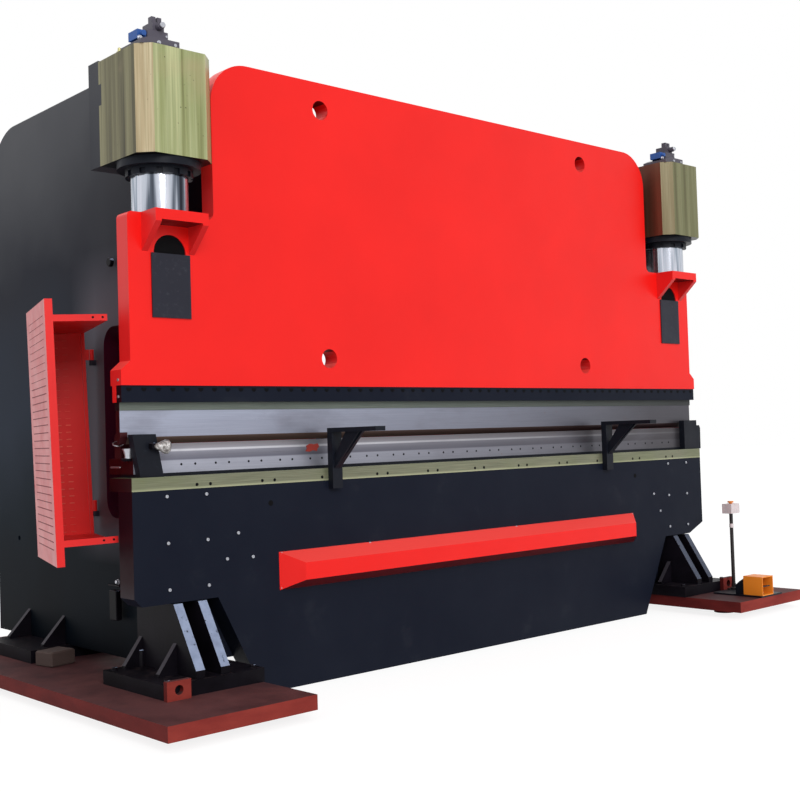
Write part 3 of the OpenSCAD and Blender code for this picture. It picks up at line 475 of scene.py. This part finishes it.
MATERIALS = {
    "frame_grey": frame_grey(), "ram_red": ram_red(), "guard_red": guard_red(), "table_blue": table_blue(),
    "tool_black": paint("tool_black", srgb(19, 22, 31), 0.44, 0.14, 0.2, 0.08, srgb(44, 48, 58)),
    "cover_grey": paint("cover_grey", srgb(38, 39, 50), 0.45, 0.2, 0.12, 0.06, srgb(75, 76, 84)),
    "foot_black": foot_black(),
    "rusty_plate": rusty_plate(), "cylinder_olive": machined_olive("cylinder_olive"),
    "zinc_olive": rail_olive(), "tool_steel": tool_steel(), "strip_green": strip_green(),
    "rod_chrome": rod_chrome(), "coil_blue": plastic("coil_blue", srgb(34, 84, 158), 0.5),
    "hood_orange": paint("hood_orange", srgb(255, 150, 44), 0.38, 0.3, 0.06, 0.05),
    "tread_rubber": tread_rubber(), "post_black": paint("post_black", srgb(26, 18, 20), 0.4, 0.4),
    "box_white": plastic("box_white", srgb(220, 208, 210), 0.45),
    "button_amber": plastic("button_amber", srgb(228, 130, 30), 0.3),
    "dark_hole": dark_hole(),
    "zinc_bolt": steel("zinc_bolt", srgb(188, 190, 198), 0.32, 0.8, (8, 8, 8), 0.12),
    "louvre_line": paint("louvre_line", srgb(128, 62, 68), 0.6, 0.1, 0.2, 0.05),
    "louvre_dash": paint("louvre_dash", srgb(226, 92, 78), 0.5, 0.3, 0.2, 0.05),
    "wrap_silver": wrap_silver(),
    "old_wood": steel("old_wood", srgb(66, 50, 46), 0.8, 0.0, (3, 3, 30), 0.3),
    "valve_grey": paint("valve_grey", srgb(84, 80, 92), 0.38, 0.35, 0.2, 0.06),
    "maroon_block": paint("maroon_block", srgb(62, 20, 24), 0.45, 0.2, 0.25, 0.06),
    "brass_yellow": steel("brass_yellow", srgb(214, 208, 150), 0.4, 0.5, (8, 8, 8), 0.1),
}
# Nodes whose tone differs from that of their slot
OWN_TONE = {"left_valve": "valve_grey", "right_valve": "valve_grey"}


def cad_materials():
    """Give every CAD node the material of its slot in the record, or its own tone."""
    for row in frame["record"]["subparts"]:
        mesh = NODES[row["node"]].data
        mesh.materials.clear()
        mesh.materials.append(MATERIALS[OWN_TONE.get(row["node"], row["material_slot"])])


class Solid:
    """Vertices and faces collected into one piece."""

    def __init__(self):
        self.verts, self.faces = [], []

    def add(self, verts, faces):
        first = len(self.verts)
        self.verts += [tuple(v) for v in verts]
        self.faces += [tuple(first + i for i in f) for f in faces]

    def lathe(self, profile, at, axis=(0, 0, 1), count=20, phase=0.0):
        """Rings of (radius, height) along the axis, closed by a disc at both ends."""
        turn = Vector((0, 0, 1)).rotation_difference(Vector(axis)).to_matrix()
        verts, faces = [], []
        for r, h in profile:
            for i in range(count):
                a = phase + 2 * math.pi * i / count
                verts.append(turn @ Vector((r * math.cos(a), r * math.sin(a), h)) + Vector(at))
        for k in range(len(profile) - 1):
            for i in range(count):
                j = (i + 1) % count
                faces.append((k * count + i, k * count + j, (k + 1) * count + j, (k + 1) * count + i))
        faces.append(tuple(reversed(range(count))))
        last = (len(profile) - 1) * count
        faces.append(tuple(range(last, last + count)))
        self.add(verts, faces)

    def bolt(self, at, axis, r, h):
        """A socket head screw with a chamfered rim and a hollow for the key."""
        profile = [(r, -0.001), (r, h * 0.82), (r * 0.88, h), (r * 0.52, h), (r * 0.46, h * 0.5)]
        self.lathe(profile, at, axis, 18)

    def hexagon(self, at, axis, r, h):
        """A hexagon nut or head with a washer under it."""
        self.lathe([(r * 1.3, -0.001), (r * 1.3, h * 0.18), (r * 1.24, h * 0.22)], at, axis, 24)
        self.lathe([(r, h * 0.2), (r, h * 0.9), (r * 0.9, h)], at, axis, 6, 0.3)

    def disc(self, at, axis, r, h=0.0006, place=None):
        """A thin round disc on a face, optionally moved by a matrix."""
        first = len(self.verts)
        self.lathe([(r, -0.001), (r, h * 0.5), (r * 0.94, h)], at, axis, 20)
        if place:
            self.verts[first:] = [tuple(place @ Vector(v)) for v in self.verts[first:]]

    def block(self, low, high, bevel=0.0, place=None):
        """A box with chamfered edges along z and at its ends, optionally moved by a matrix."""
        b = bevel
        (x0, y0, z0), (x1, y1, z1) = low, high
        ring = [(x0 + b, y0), (x1 - b, y0), (x1, y0 + b), (x1, y1 - b),
                (x1 - b, y1), (x0 + b, y1), (x0, y1 - b), (x0, y0 + b)]
        cx, cy = (x0 + x1) / 2, (y0 + y1) / 2
        kx, ky = 1 - 2 * b / (x1 - x0), 1 - 2 * b / (y1 - y0)
        inner = [(cx + (x - cx) * kx, cy + (y - cy) * ky) for x, y in ring]
        layers = [(inner, z0), (ring, z0 + b), (ring, z1 - b), (inner, z1)]
        verts = [Vector((x, y, z)) for outline, z in layers for x, y in outline]
        if place:
            verts = [place @ v for v in verts]
        faces = [tuple(reversed(range(8))), tuple(range(24, 32))]
        for k in range(3):
            for i in range(8):
                j = (i + 1) % 8
                faces.append((k * 8 + i, k * 8 + j, (k + 1) * 8 + j, (k + 1) * 8 + i))
        self.add(verts, faces)

    def prism(self, outline, axis, low, high, place=None):
        """An outline drawn across an axis, x or y, and drawn out along it."""
        count = len(outline)
        verts = [Vector((d, a, b) if axis == "x" else (a, d, b)) for d in (low, high) for a, b in outline]
        if place:
            verts = [place @ v for v in verts]
        faces = [tuple(reversed(range(count))), tuple(range(count, 2 * count))]
        faces += [(i, (i + 1) % count, count + (i + 1) % count, count + i) for i in range(count)]
        self.add(verts, faces)

    def make(self, name, material, body, slot, smooth=True):
        """Turn what was collected into an object that rides on a body."""
        mesh = bpy.data.meshes.new(name)
        mesh.from_pydata(self.verts, [], self.faces)
        mesh.validate()
        piece = bpy.data.objects.new(name, mesh)
        bpy.context.scene.collection.objects.link(piece)
        mesh.materials.append(MATERIALS[material])
        if smooth:
            mesh.shade_smooth()
            for poly in mesh.polygons:
                poly.use_smooth = len(poly.vertices) == 4
            mod = piece.modifiers.new("edges", "EDGE_SPLIT")
            mod.split_angle = math.radians(35)
        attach(piece, body)
        return piece


FRONT, BACK, LEFT, UP, DOWN = (0, -1, 0), (0, 1, 0), (-1, 0, 0), (0, 0, 1), (0, 0, -1)


def table_fixings():
    """Bolt heads at both ends of the table and one hole on each side."""
    bolts, holes = Solid(), Solid()
    for s in (-1, 1):
        for x, z in ((2.302, 1.099), (2.300, 0.860), (2.298, 0.622), (2.064, 1.099), (2.063, 0.860),
                     (2.062, 0.622), (1.870, 0.880), (1.945, 0.748)):
            bolts.bolt((s * x, 0, z), FRONT, 0.009, 0.007)
        holes.disc((s * 1.650, 0, 1.026), FRONT, 0.016)
    bolts.bolt((-1.779, 0, 0.745), FRONT, 0.009, 0.007)
    bolts.make("table_bolts", "zinc_bolt", "machine", "rod_chrome")
    holes.make("table_hole", "dark_hole", "machine", "tool_black")


def rail_fixings():
    """Pairs of holes along the rail."""
    holes = Solid()
    for k in range(RAIL_HOLE_PAIRS):
        for x in (-2.119, -2.036):
            holes.disc((x + k * RAIL_HOLE_PITCH, 0, 1.152), FRONT, 0.009)
    holes.make("rail_holes", "dark_hole", "machine", "tool_black")


def die_fixings():
    """Pairs of holes in the die's foot, a rusty smear and a painted highlight along the edge of its end."""
    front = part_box("die")[0][1]
    holes, rust, glint = Solid(), Solid(), Solid()
    for k in range(DIE_HOLE_PAIRS):
        for x in (-2.170, -2.085):
            holes.disc((x + k * DIE_HOLE_PITCH, front, 1.260), FRONT, 0.0065)
    holes.make("die_holes", "dark_hole", "machine", "tool_black")
    ragged = [(-1.352, 1.302), (-1.340, 1.318), (-1.346, 1.333), (-1.318, 1.344), (-1.288, 1.340),
              (-1.262, 1.345), (-1.250, 1.328), (-1.262, 1.316), (-1.268, 1.300), (-1.296, 1.306),
              (-1.322, 1.298)]
    rust.prism(ragged, "y", front - 0.0012, front + 0.001)
    rust.make("die_rust_patch", "rusty_plate", "machine", "rusty_plate", smooth=False)
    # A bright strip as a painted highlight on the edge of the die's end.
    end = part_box("die")[0][0]
    glint.block((end - 0.004, front + 0.13, 1.250), (end + 0.001, front + 0.235, 1.259), 0.002)
    glint.make("die_end_highlight", "zinc_bolt", "machine", "rod_chrome")


def clamp_fixings():
    """The row of half-round pockets along the clamp bar."""
    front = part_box("clamp_bar")[0][1]
    holes = Solid()
    for k in range(CLAMP_HOLES):
        x = -CLAMP_HOLE_END + 2 * CLAMP_HOLE_END * k / (CLAMP_HOLES - 1)
        outline = [(x + 0.016 * math.cos(a), 1.660 - 0.020 * math.sin(a))
                   for a in (math.pi * i / 10 for i in range(11))]
        holes.prism(outline, "y", front - 0.0008, front + 0.001)
    holes.make("clamp_holes", "dark_hole", "ram", "tool_black", smooth=False)


def cover_fixings():
    """Screws of the front cover and of the slot covers."""
    screws = Solid()
    for x, z in ((-1.590, 0.744), (-1.592, 0.556), (-0.948, 0.748), (0.330, 0.748), (1.592, 0.744),
                 (1.590, 0.560)):
        screws.bolt((x, -0.004, z), FRONT, 0.008, 0.006)
    screws.make("cover_screws", "zinc_bolt", "machine", "rod_chrome")
    screws = Solid()
    low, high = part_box("slot_covers")
    for s in (-1, 1):
        for x in (2.115, 2.326):
            for z in (low[2] + 0.012, high[2] - 0.03):
                screws.disc((s * x, low[1], z), FRONT, 0.004)
    screws.make("slot_cover_screws", "cover_grey", "ram", "cover_grey")


def pocket_backs():
    """Painted shade: dark fills at the bottoms of the two arched pockets above the cover plates."""
    backs = Solid()
    for s in (-1, 1):
        x, r = s * POCKET_X, POCKET_RADIUS
        arch = [(x + r * math.cos(a), POCKET_ARCH_Z + r * math.sin(a)) for a in (math.pi * i / 24 for i in range(25))]
        backs.prism(arch + [(x - r, POCKET_LOW_Z), (x + r, POCKET_LOW_Z)], "y", 0.050, 0.1028)
    backs.make("pocket_backs", "dark_hole", "ram", "tool_black", smooth=False)


def valve_fittings():
    """Bright plugs, a hexagon and a round cap on each valve, and a fitting beside the left one."""
    bright, yellow = Solid(), Solid()
    for x in (-2.245, 2.245):
        bright.lathe([(0.015, -0.001), (0.015, 0.006), (0.012, 0.009)], (x - 0.07, -0.0925, 3.515), FRONT, 20)
        bright.hexagon((x - 0.185, -0.060, 3.435), FRONT, 0.010, 0.012)
        bright.hexagon((x - 0.100, -0.105, 3.415), FRONT, 0.008, 0.008)
        bright.disc((x - 0.03, -0.061, 3.470), FRONT, 0.006, 0.003)
        bright.disc((x - 0.005, -0.105, 3.418), FRONT, 0.009, 0.003)
    bright.make("valve_plugs", "zinc_bolt", "machine", "rod_chrome")
    yellow.lathe([(0.016, -0.001), (0.016, 0.012), (0.010, 0.014), (0.010, 0.030), (0.007, 0.034)],
                 (-2.440, 0.130, 3.397), UP, 18)
    yellow.make("left_filler_cap", "brass_yellow", "machine", "cylinder_olive")


def left_end_fittings():
    """Small parts at the machine's left end: stop block, ring, cup, wrapped knob, bolts and blocks."""
    maroon, bright, black = Solid(), Solid(), Solid()
    rounded = [(0.172, 1.2985), (0.238, 1.2985), (0.238, 1.402), (0.230, 1.424), (0.212, 1.434),
               (0.196, 1.434), (0.180, 1.424), (0.172, 1.402)]
    maroon.prism(rounded, "x", -2.462, -2.400)
    tilt = (-0.21, -0.385, 0.90)
    maroon.disc((-2.470, 0.185, 1.376), tilt, 0.023, 0.004)
    maroon.make("end_stop_block", "maroon_block", "machine", "tool_black", smooth=False)
    bright.lathe([(0.020, -0.003), (0.029, -0.002), (0.030, 0.001), (0.027, 0.003), (0.023, 0.001)],
                 (-2.470, 0.185, 1.376), tilt, 28)
    bright.lathe([(0.018, 0.0), (0.019, 0.016), (0.024, 0.034), (0.031, 0.050), (0.029, 0.051), (0.024, 0.046)],
                 (-2.463, 0.096, 1.300), UP, 24)
    bright.make("end_stop_knobs", "zinc_bolt", "machine", "rod_chrome")
    wrapped = Solid()
    wrapped.lathe([(0.004, -0.004), (0.010, 0.010), (0.026, 0.040), (0.037, 0.062), (0.036, 0.078),
                   (0.025, 0.088), (0.010, 0.090)], (-2.380, -0.012, 1.360), (0.97, -0.20, -0.08), 24)
    wrapped.make("wrapped_knob", "wrap_silver", "machine", "rod_chrome")
    black.block((-2.486, 0.080, 1.286), (-2.451, 0.128, 1.301), 0.002)
    black.block((-2.388, -0.020, 1.344), (-2.366, 0.021, 1.376), 0.003)
    black.block((-2.290, 0.577, 0.408), (-2.253, 0.655, 0.572), 0.004)
    black.block((-2.272, 0.575, 0.590), (-2.253, 0.700, 0.600), 0.002)
    black.lathe([(0.020, -0.001), (0.020, 0.082), (0.017, 0.088)], (-2.290, 0.320, 0.196), UP, 20)
    black.lathe([(0.026, -0.001), (0.026, 0.016), (0.022, 0.020)], (-2.254, 0.609, 2.389), LEFT, 20)
    black.make("left_side_blocks", "foot_black", "machine", "foot_black")
    bolts = Solid()
    bolts.hexagon((-2.254, 0.612, 0.616), LEFT, 0.011, 0.016)
    bolts.make("left_side_bolt", "zinc_bolt", "machine", "rod_chrome")
    wing = Solid()
    for z in (1.700, 1.615):
        wing.disc((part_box("ram")[0][0], 0.075, z), LEFT, 0.008, 0.003)
    wing.make("wing_bolts", "zinc_bolt", "ram", "rod_chrome")


def plate_clutter():
    """The loose brown block on the left base plate and the bolts in the foot plates."""
    block, bolts = Solid(), Solid()
    turned = Matrix.Translation((-2.390, 1.120, 0.1215)) @ Matrix.Rotation(math.radians(12), 4, "Z")
    block.block((-0.085, -0.075, 0.0), (0.085, 0.075, 0.085), 0.008, turned)
    block.make("loose_block", "old_wood", "machine", "rusty_plate", smooth=False)
    for s in (-1, 1):
        for x, y in ((2.440, -0.190), (1.930, -0.190), (2.440, 0.330), (1.930, 0.330)):
            bolts.hexagon((s * x, y, 0.196), UP, 0.015, 0.016)
    bolts.make("foot_plate_bolts", "foot_black", "machine", "foot_black")


def rear_details():
    """The tank's lid, cap, level glass and drain, and the screws and grips of the rear covers."""
    low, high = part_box("oil_tank")
    lid, bolts, glass = Solid(), Solid(), Solid()
    top, middle = high[2], (low[1] + high[1]) / 2
    lid.block((low[0] + 0.25, low[1] + 0.06, top - 0.001), (high[0] - 0.25, high[1] - 0.06, top + 0.012), 0.002)
    for i in range(11):
        x = low[0] + 0.30 + i * (high[0] - low[0] - 0.60) / 10
        for y in (low[1] + 0.09, high[1] - 0.09):
            bolts.hexagon((x, y, top + 0.011), UP, 0.010, 0.010)
    for z in (low[2] + 0.16, top - 0.14):
        bolts.hexagon((1.30, high[1], z), BACK, 0.014, 0.012)
    lid.lathe([(0.06, -0.002), (0.06, 0.010), (0.045, 0.014), (0.045, 0.070), (0.055, 0.074),
               (0.055, 0.110), (0.048, 0.116)], (-1.60, middle, top + 0.011), UP, 32)
    lid.lathe([(0.040, -0.002), (0.040, 0.030), (0.030, 0.034), (0.030, 0.050)],
              (0.0, 0.9, low[2] + 0.001), DOWN, 24)
    for x in (-0.9, 0.9):
        lid.block((x - 0.006, high[1] - 0.001, low[2] + 0.03), (x + 0.006, high[1] + 0.018, top - 0.03), 0.002)
    glass.block((1.286, high[1] - 0.001, low[2] + 0.18), (1.314, high[1] + 0.010, top - 0.16), 0.004)
    lid.make("tank_lid", "table_blue", "machine", "table_blue")
    bolts.make("tank_bolts", "zinc_bolt", "machine", "rod_chrome")
    glass.make("tank_level_glass", "box_white", "machine", "box_white")
    low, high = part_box("rear_covers")
    screws, grips, seams = Solid(), Solid(), Solid()
    panel, back = (high[0] - low[0]) / 3, high[1]
    for i in range(3):
        x0 = low[0] + i * panel
        for x in (x0 + 0.05, x0 + panel / 2, x0 + panel - 0.05):
            for z in (low[2] + 0.05, high[2] - 0.05):
                screws.bolt((x, back, z), BACK, 0.010, 0.007)
        for x in (x0 + 0.30, x0 + panel - 0.30):
            for dx in (-0.06, 0.06):
                foot = x + dx
                grips.block((foot - 0.008, back - 0.001, 1.50), (foot + 0.008, back + 0.032, 1.516), 0.003)
            grips.block((x - 0.068, back + 0.024, 1.499), (x + 0.068, back + 0.040, 1.517), 0.004)
        if i:
            seams.block((x0 - 0.002, back - 0.001, low[2]), (x0 + 0.002, back + 0.0012, high[2]), 0.0005)
    screws.make("rear_cover_screws", "zinc_bolt", "machine", "rod_chrome")
    grips.make("rear_cover_grips", "tool_black", "machine", "tool_black")
    seams.make("rear_cover_seams", "dark_hole", "machine", "tool_black")


def support_braces():
    """The broad braces under the support arms."""
    for name, side in (("left", -1.205), ("right", 1.308)):
        brace = Solid()
        outline = [(-0.040, 1.196), (-0.040, 1.262), (-0.148, 1.408), (-0.268, 1.408)]
        brace.prism(outline, "x", side - 0.022, side + 0.022)
        brace.make(name + "_arm_brace", "tool_black", "machine", "tool_black", smooth=False)


def switch_fittings():
    """A light band and a collar on the switch's post."""
    low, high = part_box("switch_post")
    at = ((low[0] + high[0]) / 2, (low[1] + high[1]) / 2)
    radius = (high[0] - low[0]) / 2
    band, collar = Solid(), Solid()
    band.lathe([(radius + 0.0005, 0), (radius + 0.002, 0.004), (radius + 0.002, 0.026),
                (radius + 0.0005, 0.030)], (at[0], at[1], 0.600), UP, 24)
    band.make("post_band", "box_white", "machine", "box_white")
    collar.lathe([(radius + 0.016, -0.001), (radius + 0.016, 0.012), (radius + 0.004, 0.020),
                  (radius + 0.004, 0.045)], (at[0], at[1], low[2]), UP, 24)
    collar.hexagon((at[0] - 0.05, at[1] + 0.01, low[2]), UP, 0.012, 0.014)
    collar.make("post_collar", "post_black", "machine", "post_black")


def guard_matrix(open_angle, lean, mirror=1):
    """From the guard's own place, closed with its hinge on z, to its place on the machine."""
    middle = (GUARD_LOW + GUARD_TOP) / 2
    m = (Matrix.Translation(HINGE) @ Matrix.Rotation(math.radians(-open_angle), 4, "Z")
         @ Matrix.Translation((0, 0, middle)) @ Matrix.Rotation(math.radians(-lean), 4, "Y")
         @ Matrix.Translation((0, 0, -middle)))
    return Matrix.Diagonal((mirror, 1, 1, 1)) @ m


def guard_louvres(side, body, place, slot_y=-GUARD_SHEET):
    """Pressed slots: long ones across the side panel, drawn as lines of painted shade, and three short columns in the
    rear wall.
    """
    lines, dashes, holes, lip = Solid(), Solid(), Solid(), Solid()
    for k in range(LOUVRES):
        z = GUARD_LOW + 0.08 + k * LOUVRE_PITCH
        thick = 0.0045 if z < 1.72 else 0.002
        lines.block((-GUARD_OUT - 0.0018, -GUARD_LEN + 0.075, z), (-GUARD_OUT + 0.001, -0.09, z + thick),
                    0.0008, place)
        thick = 0.006 if 1.05 < z < 1.5 else 0.0025
        for x, w in ((-0.250, 0.018), (-0.200, 0.028), (-0.149, 0.028)):
            dashes.block((x, slot_y - 0.0022, z), (x + w, slot_y + 0.001, z + thick), 0.001, place)
    lines.make(side + "_guard_louvres", "louvre_line", body, "guard_red")
    dashes.make(side + "_guard_dashes", "louvre_dash", body, "guard_red")
    lip.block((-0.043, -0.012, GUARD_LOW + 0.075), (-0.0225, 0.0, GUARD_TOP - 0.085), 0.001, place)
    lip.make(side + "_guard_lip", "guard_red", body, "guard_red")
    front = -GUARD_LEN
    for z in (0.870, 2.016):
        for x in (-0.095, -0.045):
            holes.disc((x, front, z + 0.018), FRONT, 0.006, place=place)
    holes.make(side + "_guard_holes", "dark_hole", body, "tool_black")


def camera():
    """The camera, with the photograph's place, turn and lens."""
    yaw, pitch, roll = (math.radians(a) for a in (CAM_YAW, CAM_PITCH, CAM_ROLL))
    forward = Vector((math.sin(yaw) * math.cos(pitch), math.cos(yaw) * math.cos(pitch), math.sin(pitch)))
    right = Vector((math.cos(yaw), -math.sin(yaw), 0))
    up = right.cross(forward)
    turned = math.cos(roll) * right + math.sin(roll) * up
    above = math.cos(roll) * up - math.sin(roll) * right
    data = bpy.data.cameras.new("camera")
    data.sensor_fit = "HORIZONTAL"
    data.sensor_width = SENSOR_MM
    data.lens = CAM_FOCAL_PX / IMAGE_WIDTH_PX * SENSOR_MM
    data.clip_end = 200
    cam = bpy.data.objects.new("camera", data)
    cam.matrix_world = Matrix.Translation(CAM_PLACE) @ Matrix((turned, above, -forward)).transposed().to_4x4()
    bpy.context.scene.collection.objects.link(cam)
    bpy.context.scene.camera = cam


def lamp(name, towards, strength, angle):
    """A sun lamp that stands in the given direction."""
    data = bpy.data.lights.new(name, "SUN")
    data.energy = strength
    data.angle = math.radians(angle)
    obj = bpy.data.objects.new(name, data)
    obj.rotation_euler = Vector(towards).to_track_quat("Z", "Y").to_euler()
    bpy.context.scene.collection.objects.link(obj)


def is_seen(tree):
    """1 for rays that the camera, a gloss or a glass sends out."""
    path = tree.nodes.new("ShaderNodeLightPath")
    total = path.outputs["Is Camera Ray"]
    for name in ("Is Glossy Ray", "Is Transmission Ray"):
        add = tree.nodes.new("ShaderNodeMath")
        add.operation = "MAXIMUM"
        tree.links.new(total, add.inputs[0])
        tree.links.new(path.outputs[name], add.inputs[1])
        total = add.outputs[0]
    return total


def studio():
    """White surroundings, two soft lamps and a pale floor that keeps the machine's shadow."""
    world = bpy.data.worlds.new("studio")
    world.use_nodes = True
    bpy.context.scene.world = world
    tree = world.node_tree
    back = tree.nodes["Background"]
    back.inputs["Color"].default_value = (1, 1, 1, 1)
    strength = tree.nodes.new("ShaderNodeMapRange")
    strength.inputs["To Min"].default_value = WORLD_LIGHT
    strength.inputs["To Max"].default_value = WORLD_SEEN
    tree.links.new(is_seen(tree), strength.inputs["Value"])
    tree.links.new(strength.outputs["Result"], back.inputs["Strength"])
    lamp("key", (-0.30, -0.85, 0.45), 1.35, 30)
    lamp("top", (0.25, 0.2, 1.0), 0.35, 60)
    mesh = bpy.data.meshes.new("floor")
    h = FLOOR_HALF
    mesh.from_pydata([(-h, -h, 0), (h, -h, 0), (h, h, 0), (-h, h, 0)], [], [(0, 1, 2, 3)])
    floor = bpy.data.objects.new("floor", mesh)
    floor.location.z = -FLOOR_GAP
    bpy.context.scene.collection.objects.link(floor)
    mat = bpy.data.materials.new("floor_pale")
    mat.use_nodes = True
    tree = mat.node_tree
    bsdf = tree.nodes["Principled BSDF"]
    bsdf.inputs["Base Color"].default_value = (0.82, 0.82, 0.82, 1)
    bsdf.inputs["Roughness"].default_value = 0.9
    bsdf.inputs["Specular IOR Level"].default_value = 0.1
    glow = tree.nodes.new("ShaderNodeEmission")
    glow.inputs["Strength"].default_value = FLOOR_GLOW
    share = tree.nodes.new("ShaderNodeMath")
    share.operation = "MULTIPLY"
    share.inputs[1].default_value = FLOOR_GLOW_SHARE
    tree.links.new(is_seen(tree), share.inputs[0])
    mix = tree.nodes.new("ShaderNodeMixShader")
    tree.links.new(share.outputs[0], mix.inputs["Fac"])
    tree.links.new(bsdf.outputs["BSDF"], mix.inputs[1])
    tree.links.new(glow.outputs["Emission"], mix.inputs[2])
    tree.links.new(mix.outputs["Shader"], tree.nodes["Material Output"].inputs["Surface"])
    mesh.materials.append(mat)
    bpy.context.scene.view_settings.view_transform = "Standard"


cad_materials()
table_fixings()
rail_fixings()
die_fixings()
clamp_fixings()
cover_fixings()
pocket_backs()
valve_fittings()
left_end_fittings()
plate_clutter()
support_braces()
rear_details()
switch_fittings()
guard_louvres("left", "left_guard", guard_matrix(GUARD_OPEN, GUARD_LEAN))
guard_louvres("right", "machine", guard_matrix(0, 0, -1))
camera()
studio()
